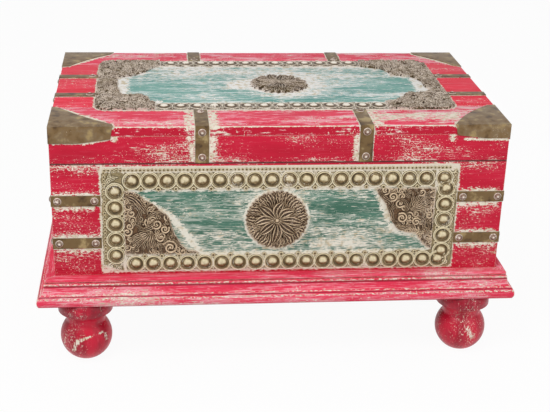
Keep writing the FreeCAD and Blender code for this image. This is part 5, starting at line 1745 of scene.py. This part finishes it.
    def _bosses(self, finish: Material) -> Piece:
        """The ringed bosses."""
        places = [on_face(x, height) for x, height in self.boss_places()]
        return self.repeater.seat("front_border_bosses", FRONT_BOSS, places, finish, 0.03, 0.03, 0.35, 3)

    def _studs(self, finish: Material) -> Piece:
        """The small studs between the bosses, along the inner edge.

        Args:
            finish: the material.

        Returns:
            The studs in one piece.
        """
        places = []
        for start, edge in ((self.top_row, self.field_head + 3.6), (self.bottom_row, self.field_foot - 3.6)):
            places += [on_face(start[0] + (k + 0.5) * self.pitch, edge, 0.8) for k in range(self.row_count - 1)]
        for x in (self.left_column + 12.0, self.right_column - 12.0):
            places += [on_face(x, self.column_head - (k + 0.5) * self.pitch, 0.8)
                       for k in range(self.column_count - 1)]
        return self.repeater.seat("front_border_studs", STUD, places, finish, 0.1, 0.05, math.pi, 5)

    def _beads(self, finish: Material) -> Piece:
        """The lines of fine beads along the outer edges.

        Args:
            finish: the material.

        Returns:
            The beads in one piece.
        """
        along = int(2 * (self.half_width - 6) / self.bead_spacing)
        upright = int((self.head - self.foot - 26) / self.bead_spacing)
        places = [on_face(-self.half_width + 8 + k * self.bead_spacing, self.head - 7.0, 0.6) for k in range(along)]
        for x in (-self.half_width + 6.5, self.half_width - 6.5):
            places += [on_face(x, self.head - 12 - k * self.bead_spacing, 0.6) for k in range(upright)]
        return self.repeater.seat("front_border_beads", BEAD, places, finish, 0.12, 0.08, math.pi, 7)

    def scrolls(self, finish: Material) -> list[Piece]:
        """The leaf scroll sheets in two corners of the panel.

        Args:
            finish: the material.

        Returns:
            The pieces.
        """
        plates = {"front_scroll_left": self._left_scroll(), "front_scroll_right": self._right_scroll()}
        pieces = []
        for node, plate in plates.items():
            plate.filigree(300, 7.5, 4.0)
            plate.hammered(0.15, 5.0)
            pieces.append(hang(plate, node, "leaves", Body.CHEST, 6.4, finish))
        return pieces

    def _left_scroll(self) -> EmbossedSheet:
        """The sheet in the lower left corner, with its main leaves and scrolls.

        Returns:
            The embossed sheet.
        """
        plate = EmbossedSheet([
            (-291.5, 94), (-151, 94), (-160, 100), (-175, 102), (-186, 112), (-192, 124), (-198, 134), (-204, 152),
            (-208, 168), (-214, 176), (-226, 184), (-238, 196), (-252, 204), (-262, 214), (-272, 220), (-291.5, 222),
        ], 0.6, 11)
        tips = ((-284, 127), (-285, 111), (-279, 96), (-262, 95), (-247, 96), (-232, 98))
        plate.fan((-241, 142), tips, (-2, 0), 5.2, 5.0)
        plate.leaf([(-291, 214), (-274, 208), (-258, 190), (-247, 176)], 7.0, 5.5, 4)
        plate.leaf([(-289, 196), (-272, 196), (-262, 182), (-266, 166), (-254, 158)], 5.0, 5.0, 3)
        plate.leaf([(-270, 156), (-256, 146), (-240, 152), (-232, 164), (-222, 168)], 5.0, 6.0, 2)
        plate.leaf([(-250, 170), (-238, 178), (-226, 180), (-212, 172)], 4.6, 5.5, 3)
        plate.leaf([(-212, 166), (-202, 150), (-200, 134), (-206, 122)], 5.0, 5.5, 3)
        plate.leaf([(-206, 140), (-214, 126), (-218, 112), (-230, 108)], 4.2, 5.0, 2)
        plate.leaf([(-200, 124), (-186, 112), (-174, 104), (-158, 97)], 4.6, 5.0, 4)
        plate.scroll((-232, 156), 10.0, 1.3, 200, 6.0, 2.0)
        plate.scroll((-217, 146), 8.5, 1.3, 20, 6.0, 1.9, True)
        plate.scroll((-207, 108), 14.5, 1.5, 150, 6.0, 2.3, True)
        plate.scroll((-278, 178), 8.0, 1.2, 90, 4.6, 1.7)
        plate.scroll((-282, 152), 7.0, 1.2, 60, 4.4, 1.6, True)
        plate.scroll((-184, 99), 6.5, 1.1, 180, 4.6, 1.6)
        return plate

    def _right_scroll(self) -> EmbossedSheet:
        """The sheet in the upper right corner, with its main leaves and scrolls.

        Returns:
            The embossed sheet.
        """
        plate = EmbossedSheet([
            (291.5, 222), (179, 222), (181, 212), (190, 200), (197, 192), (202, 178), (207, 166), (211, 154),
            (220, 143), (230, 134), (244, 131), (258, 130), (264, 122), (270, 112), (280, 102), (291.5, 94),
        ], 0.6, 12)
        tips = ((286, 212), (287, 199), (280, 217), (262, 218), (248, 214), (284, 186))
        plate.fan((246, 178), tips, (2, 0), 5.0, 5.0)
        plate.leaf([(184, 216), (194, 204), (206, 196), (212, 186), (222, 182)], 5.2, 5.5, 4)
        plate.leaf([(200, 190), (208, 174), (212, 160), (224, 152)], 5.0, 5.5, 3)
        plate.leaf([(222, 200), (234, 196), (240, 186), (236, 176), (246, 168)], 4.6, 5.5, 2)
        plate.leaf([(218, 142), (232, 140), (246, 146), (258, 142)], 4.6, 5.5, 3)
        plate.leaf([(262, 166), (272, 156), (274, 142), (266, 134)], 4.8, 5.5, 3)
        plate.leaf([(286, 150), (282, 134), (276, 120), (288, 102)], 4.2, 5.0, 3)
        plate.scroll((210, 206), 9.5, 1.3, 250, 6.0, 2.0)
        plate.scroll((230, 162), 10.5, 1.4, 120, 6.0, 2.1, True)
        plate.scroll((258, 154), 8.5, 1.3, 30, 6.0, 1.9)
        plate.scroll((282, 166), 7.5, 1.2, 100, 5.0, 1.7, True)
        plate.scroll((226, 216), 6.5, 1.0, 0, 4.6, 1.6)
        return plate

    def rosette(self, finish: Material) -> list[Piece]:
        """The round rosette in the middle of the panel."""
        plate = rosette((-7.5, 161.0), 59.4, 14, 40, 2.4, 8, 22)
        return [hang(plate, "front_rosette", "leaves", Body.CHEST, 8.0, finish)]


@dataclass
class LidBrass:
    """The strips, end sheets and rosette on the lid's top."""

    repeater: Repeater
    half_width: float = 346.0
    front_edge: float = 93.0
    back_edge: float = 422.0
    corner: float = 28.0
    depth: float = 42.0
    pitch: float = 31.6
    front_strip: Point = (-232.0, 212.0)
    back_strip: Point = (-221.0, 204.0)
    front_row: tuple[float, float, int] = (-215.4, 114.0, 14)
    back_row: tuple[float, float, int] = (-198.1, 401.0, 13)
    left_inner: tuple[Point, ...] = (
        (-221, 380), (-221, 388.5), (-231, 377), (-248, 348), (-272, 316), (-306, 302), (-306, 265), (-305, 238),
        (-298, 189), (-290, 179.5), (-261, 186), (-247.5, 176), (-240, 142), (-232, 135),
    )
    right_inner: tuple[Point, ...] = (
        (212, 135), (230, 142), (250, 161), (267, 193.5), (304, 193), (319, 213.5), (311, 234), (312, 269),
        (301, 298), (278, 309.5), (258, 320), (251, 350.5), (240, 365), (204, 380),
    )

    def build(self) -> list[Piece]:
        """Builds and dresses the lid's brass.

        Returns:
            The pieces.
        """
        strip = Brass("brass_lid_strips", (70, 54, 40), (132, 112, 90), (236, 226, 208),
                      residue=(236, 226, 214), residue_amount=0.42, residue_reach=0.06, patina_amount=0.3,
                      shift=10.0, metallic=0.2).material()
        boss = Brass("brass_lid_bosses", (72, 56, 40), (140, 118, 92), (248, 240, 226),
                     residue=(244, 236, 224), residue_amount=0.3, patina_amount=0.1, shift=12.0,
                     metallic=0.15).material()
        leaf = Brass("brass_lid_leaves", (54, 40, 28), (114, 92, 68), (220, 204, 188),
                     residue=(222, 208, 198), residue_amount=0.2, patina=(112, 94, 56), patina_amount=0.6,
                     shift=14.0, metallic=0.15, rim=0.7, lift=-0.16).material()
        return self.strips(strip, boss) + self.end_sheets(leaf) + self.rosette(leaf)

    def strips(self, sheet: Material, boss: Material) -> list[Piece]:
        """The strips along the front and the back, with their bosses.

        Args:
            sheet: the strips' material.
            boss: the bosses' material.

        Returns:
            The pieces.
        """
        inner = self.front_edge + self.depth
        outer = self.back_edge - self.depth
        strips = {
            "lid_border_front": (self.front_strip, self.front_edge, inner, self.front_row),
            "lid_border_back": (self.back_strip, outer, self.back_edge, self.back_row),
        }
        pieces = []
        for seed, (node, (ends, low, high, row)) in enumerate(strips.items()):
            outline = wavy_strip(ends, low, high, row[0], self.pitch, 1.3, 220, node == "lid_border_front")
            plate = EmbossedSheet(outline, 0.75, seed + 20)
            first, middle, count = row
            for k in range(count):
                plate.ring((first + k * self.pitch, middle), 16.4, 1.1, 2.6)
            for k in range(count - 1):
                x = first + (k + 0.5) * self.pitch
                for way in (1, -1):
                    plate.leaf([(x, middle + way * 8), (x, middle + way * 13), (x, middle + way * 18)], 3.4, 3.2)
            plate.hammered(0.15, 5.0)
            pieces.append(hang(plate, node, "sheet", Body.LID, 3.4, sheet))
        places = []
        for first, middle, count in (self.front_row, self.back_row):
            places += [((first + k * self.pitch, FRONT_FACE + middle, LID_TOP + 0.2), UP_WAY) for k in range(count)]
        bosses = self.repeater.seat("lid_border_bosses", LID_BOSS, places, boss, 0.04, 0.04, 0.6, 9)
        pieces.append(settle(bosses, Body.LID, []))
        return pieces

    def end_sheets(self, finish: Material) -> list[Piece]:
        """The two leaf sheets that fill the lid's ends.

        Args:
            finish: the material.

        Returns:
            The pieces.
        """
        plates = {"lid_end_sheet_left": self._left_plate(), "lid_end_sheet_right": self._right_plate()}
        pieces = []
        for node, plate in plates.items():
            plate.filigree(900, 8.0, 5.0)
            plate.filigree(900, 4.6, 4.0)
            plate.hammered(0.2, 5.0)
            pieces.append(hang(plate, node, "leaves", Body.LID, 6.0, finish))
        return pieces

    def _round_corner(self, middle: Point, start: float) -> list[Point]:
        """A quarter of a circle, from an angle on, anticlockwise."""
        turns = [math.radians(start + 90 * k / 12) for k in range(13)]
        return [(middle[0] + self.corner * math.cos(a), middle[1] + self.corner * math.sin(a)) for a in turns]

    def _scrolled(self, outline: list[Point], seed: int,
                  scrolls: Sequence[tuple[Point, float, float, bool]]) -> EmbossedSheet:
        """An end sheet with its scrolls.

        Args:
            outline: its outline, anticlockwise.
            seed: fixes what is random.
            scrolls: each one's centre, radius, start in degrees and whether it winds clockwise.

        Returns:
            The embossed sheet.
        """
        plate = EmbossedSheet(outline, 0.7, seed)
        for centre, radius, start, clockwise in scrolls:
            plate.scroll(centre, radius, 1.4, start, 5.6, 2.0, clockwise)
        return plate

    def _left_plate(self) -> EmbossedSheet:
        """The left end sheet with its main leaves.

        Returns:
            The embossed sheet.
        """
        left = -self.half_width
        near, far = self.front_edge + self.corner, self.back_edge - self.corner
        outline = [(self.front_strip[0], self.front_edge), (self.front_strip[0], 135.0)]
        outline += list(reversed(self.left_inner))[1:]
        outline += [(self.back_strip[0], self.back_edge)]
        outline += self._round_corner((left + self.corner, far), 90)
        outline += self._round_corner((left + self.corner, near), 180)
        plate = self._scrolled(outline, 31, (
            ((-318, 122), 15.0, 40, False), ((-322, 392), 15.0, 300, True), ((-288, 148), 12.0, 120, True),
            ((-290, 356), 12.0, 240, False), ((-262, 128), 11.0, 20, False), ((-262, 396), 11.0, 10, True),
            ((-326, 176), 11.0, 90, False), ((-327, 338), 11.0, 270, True),
        ))
        tips = ((-342, 236), (-342, 250), (-342, 264), (-342, 278), (-340, 292), (-340, 222))
        plate.fan((-309, 257), tips, (0, 1), 5.4, 5.6, 0.55)
        plate.leaf([(-246, 102), (-264, 106), (-284, 104), (-304, 100)], 5.0, 5.2, 4)
        plate.leaf([(-236, 412), (-256, 414), (-278, 410), (-298, 414)], 5.0, 5.2, 4)
        return plate

    def _right_plate(self) -> EmbossedSheet:
        """The right end sheet with its main leaves.

        Returns:
            The embossed sheet.
        """
        right = self.half_width
        near, far = self.front_edge + self.corner, self.back_edge - self.corner
        outline = [(self.front_strip[1], self.front_edge)]
        outline += self._round_corner((right - self.corner, near), 270)
        outline += self._round_corner((right - self.corner, far), 0)
        outline += [(self.back_strip[1], self.back_edge)]
        outline += list(reversed(self.right_inner))
        plate = self._scrolled(outline, 32, (
            ((318, 122), 15.0, 140, True), ((322, 392), 15.0, 240, False), ((286, 152), 13.0, 60, False),
            ((288, 362), 13.0, 300, True), ((256, 124), 12.0, 160, True), ((248, 396), 12.0, 170, False),
            ((327, 176), 11.0, 90, True), ((328, 338), 11.0, 270, False),
        ))
        tips = ((342, 238), (342, 252), (342, 266), (342, 280), (340, 224))
        plate.fan((316, 254), tips, (0, 1), 5.0, 5.6, 0.55)
        plate.leaf([(228, 104), (246, 106), (266, 102), (290, 104)], 5.0, 5.2, 4)
        plate.leaf([(216, 410), (238, 414), (262, 410), (286, 414)], 5.0, 5.2, 4)
        return plate

    def rosette(self, finish: Material) -> list[Piece]:
        """The serrated rosette in the middle of the lid."""
        plate = rosette((17.0, 255.0), 59.4, 15, 26, 5.0, 9, 26)
        return [hang(plate, "lid_rosette", "leaves", Body.LID, 8.0, finish)]


@dataclass
class Straps:
    """The plain straps and corner caps with their nails."""

    frame: dict[str, Any]
    repeater: Repeater
    body_nodes: tuple[str, ...] = ("left_body_straps", "right_body_straps")
    lid_nodes: tuple[str, ...] = (
        "lid_front_strap_left", "lid_front_strap_right", "lid_back_strap_left", "lid_back_strap_right",
        "lid_left_end_straps", "lid_right_end_straps",
    )
    cap_nodes: tuple[str, ...] = (
        "lid_cap_front_left", "lid_cap_front_right", "lid_cap_back_left", "lid_cap_back_right",
    )

    def build(self) -> list[Piece]:
        """Builds and dresses the straps, the caps and the nails.

        Returns:
            The pieces.
        """
        strap = Brass("brass_straps", (72, 50, 26), (116, 90, 52), (172, 148, 100), embossed=False,
                      residue_amount=0.1, rim=-0.5, patina=(112, 92, 62), patina_amount=0.35, shift=3.0,
                      metallic=0.35).material()
        cap = Brass("brass_caps", (82, 58, 30), (128, 100, 60), (168, 142, 92), embossed=False,
                    residue=(226, 216, 200), residue_amount=0.14, rim=-0.4, patina=(126, 110, 90), patina_amount=0.6,
                    shift=5.0, metallic=0.3).material()
        nail = Brass("brass_nails", (70, 50, 38), (146, 124, 104), (240, 228, 216),
                     residue=(234, 218, 206), residue_amount=0.4, patina=(156, 92, 84), patina_amount=0.25,
                     residue_reach=0.09, shift=8.0, metallic=0.25).material()
        pieces = []
        for body, nodes, finish in ((Body.CHEST, self.body_nodes, strap), (Body.LID, self.lid_nodes, strap),
                                    (Body.LID, self.cap_nodes, cap)):
            pieces += dressed(self.frame, body, dict.fromkeys(nodes, finish), 0.25, 40.0)
        for seed, (node, body) in enumerate((("body_strap_nails", Body.CHEST), ("lid_strap_nails", Body.LID))):
            places = nail_places(self.frame, node)
            heads = self.repeater.seat(f"{node}_heads", NAIL, places, nail, 0.0, 0.0, 0.9, seed + 11)
            pieces.append(settle(heads, body, [node]))
        return pieces


@dataclass
class Hinges:
    """The two butt hinges at the back."""

    frame: dict[str, Any]
    chest_nodes: tuple[str, ...] = ("hinge_left_body_leaf", "hinge_right_body_leaf", "hinge_pins", "hinge_body_screws")
    lid_nodes: tuple[str, ...] = ("hinge_left_lid_leaf", "hinge_right_lid_leaf", "hinge_lid_screws")

    def build(self) -> list[Piece]:
        """Dresses the hinges.

        Returns:
            The pieces.
        """
        finish = Brass("brass_hinges", (112, 88, 48), (168, 140, 84), (198, 172, 118),
                       embossed=False, residue_amount=0.05, patina_amount=0.3, roughness=0.35, shift=15.0,
                       metallic=0.7).material()
        return [piece for body, nodes in ((Body.CHEST, self.chest_nodes), (Body.LID, self.lid_nodes))
                for piece in dressed(self.frame, body, dict.fromkeys(nodes, finish), 0.15, 40.0)]


@dataclass
class Studio:
    """The floor, the backdrop, the lights and the camera."""

    focal_pixels: float = 1163.37
    image_width: float = 550.0
    sensor: float = 36.0
    stand: Place = (-230.7, -2231.9, 1166.3)
    yaw: float = 6.2866
    pitch: float = 22.989
    roll: float = 1.7238
    floor_glow: float = 0.95
    sky: float = 0.52

    def build(self) -> None:
        """Sets the whole studio up."""
        bpy.context.scene.view_settings.view_transform = "Standard"
        self.camera()
        self.floor()
        self.world()
        self.lights()

    def camera(self) -> None:
        """The camera at the photograph's place."""
        yaw, pitch, roll = (math.radians(a) for a in (self.yaw, self.pitch, self.roll))
        ahead = Vector((math.sin(yaw) * math.cos(pitch), math.cos(yaw) * math.cos(pitch), -math.sin(pitch)))
        level = Vector((math.cos(yaw), -math.sin(yaw), 0))
        up = level.cross(ahead)
        right = math.cos(roll) * level + math.sin(roll) * up
        top = -math.sin(roll) * level + math.cos(roll) * up
        data = bpy.data.cameras.new("camera")
        data.sensor_width = self.sensor
        data.lens = self.focal_pixels / self.image_width * self.sensor
        data.clip_start, data.clip_end = 0.05, 60.0
        camera = bpy.data.objects.new("camera", data)
        turn = Matrix((right, top, -ahead)).transposed().to_4x4()
        camera.matrix_world = Matrix.Translation(Vector(self.stand) * MM) @ turn
        bpy.context.scene.collection.objects.link(camera)
        bpy.context.scene.camera = camera

    def floor(self) -> None:
        """A plain pale floor that keeps the chest's shadow."""
        mesh = bpy.data.meshes.new("floor_mesh")
        reach = 30.0
        mesh.from_pydata([(-reach, -reach, 0), (reach, -reach, 0), (reach, reach, 0), (-reach, reach, 0)], [],
                         [(0, 1, 2, 3)])
        floor = new_piece("floor", mesh)
        material = bpy.data.materials.new("pale_floor")
        material.use_nodes = True
        tree = Tree(material.node_tree)
        diffuse = tree.node("ShaderNodeBsdfDiffuse", {"Color": (0.9, 0.9, 0.9, 1.0)})
        glow = tree.node("ShaderNodeEmission", {"Color": (1.0, 1.0, 1.0, 1.0)})
        share = tree.sum("MULTIPLY", self._seen(tree), self.floor_glow)
        tree.mixed(share, diffuse, glow, "ShaderNodeOutputMaterial")
        floor.data.materials.append(material)

    def _seen(self, tree: Tree) -> Socket:
        """1 for what the camera sees, straight, in gloss or through glass."""
        path = tree.node("ShaderNodeLightPath").outputs
        straight = tree.sum("MAXIMUM", path["Is Camera Ray"], path["Is Glossy Ray"])
        return tree.sum("MAXIMUM", straight, path["Is Transmission Ray"])

    def world(self) -> None:
        """White where it is seen, a plain soft light elsewhere."""
        world = bpy.data.worlds.new("studio")
        world.use_nodes = True
        tree = Tree(world.node_tree)
        soft = tree.node("ShaderNodeBackground", {"Strength": self.sky})
        white = tree.node("ShaderNodeBackground", {"Strength": 1.0})
        tree.mixed(self._seen(tree), soft, white, "ShaderNodeOutputWorld")
        bpy.context.scene.world = world

    def lights(self) -> None:
        """Two large soft lamps."""
        self._lamp("key_lamp", (-1.3, -1.7, 3.0), 1.6, 56.0)
        self._lamp("fill_lamp", (2.2, -2.2, 1.4), 2.4, 22.0)

    def _lamp(self, name: str, place: Place, size: float, power: float) -> None:
        """A square lamp aimed at the chest.

        Args:
            name: its name.
            place: where it hangs, in metres.
            size: its side.
            power: its watts.
        """
        data = bpy.data.lights.new(name, "AREA")
        data.size = size
        data.energy = power
        lamp = bpy.data.objects.new(name, data)
        way = Vector((0, 0, 0.25)) - Vector(place)
        lamp.matrix_world = Matrix.Translation(Vector(place)) @ way.to_track_quat("-Z", "Y").to_matrix().to_4x4()
        bpy.context.scene.collection.objects.link(lamp)


def main() -> None:
    """Builds the chest piece by piece."""
    logging.basicConfig(level=logging.INFO, format="%(name)s: %(message)s", stream=sys.stdout)
    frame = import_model()
    repeater = Repeater()
    assemblies: list[Any] = [
        Woodwork(frame), FrontBrass(repeater), LidBrass(repeater), Straps(frame, repeater),
        Hinges(frame),
    ]
    for assembly in assemblies:
        pieces = assembly.build()
        LOG.info("%s: %d pieces", type(assembly).__name__, len(pieces))
        for piece in pieces:
            LOG.info("  %s, %d faces", piece.name, len(piece.data.polygons))
    Studio().build()


if __name__ == "__main__":
    main()
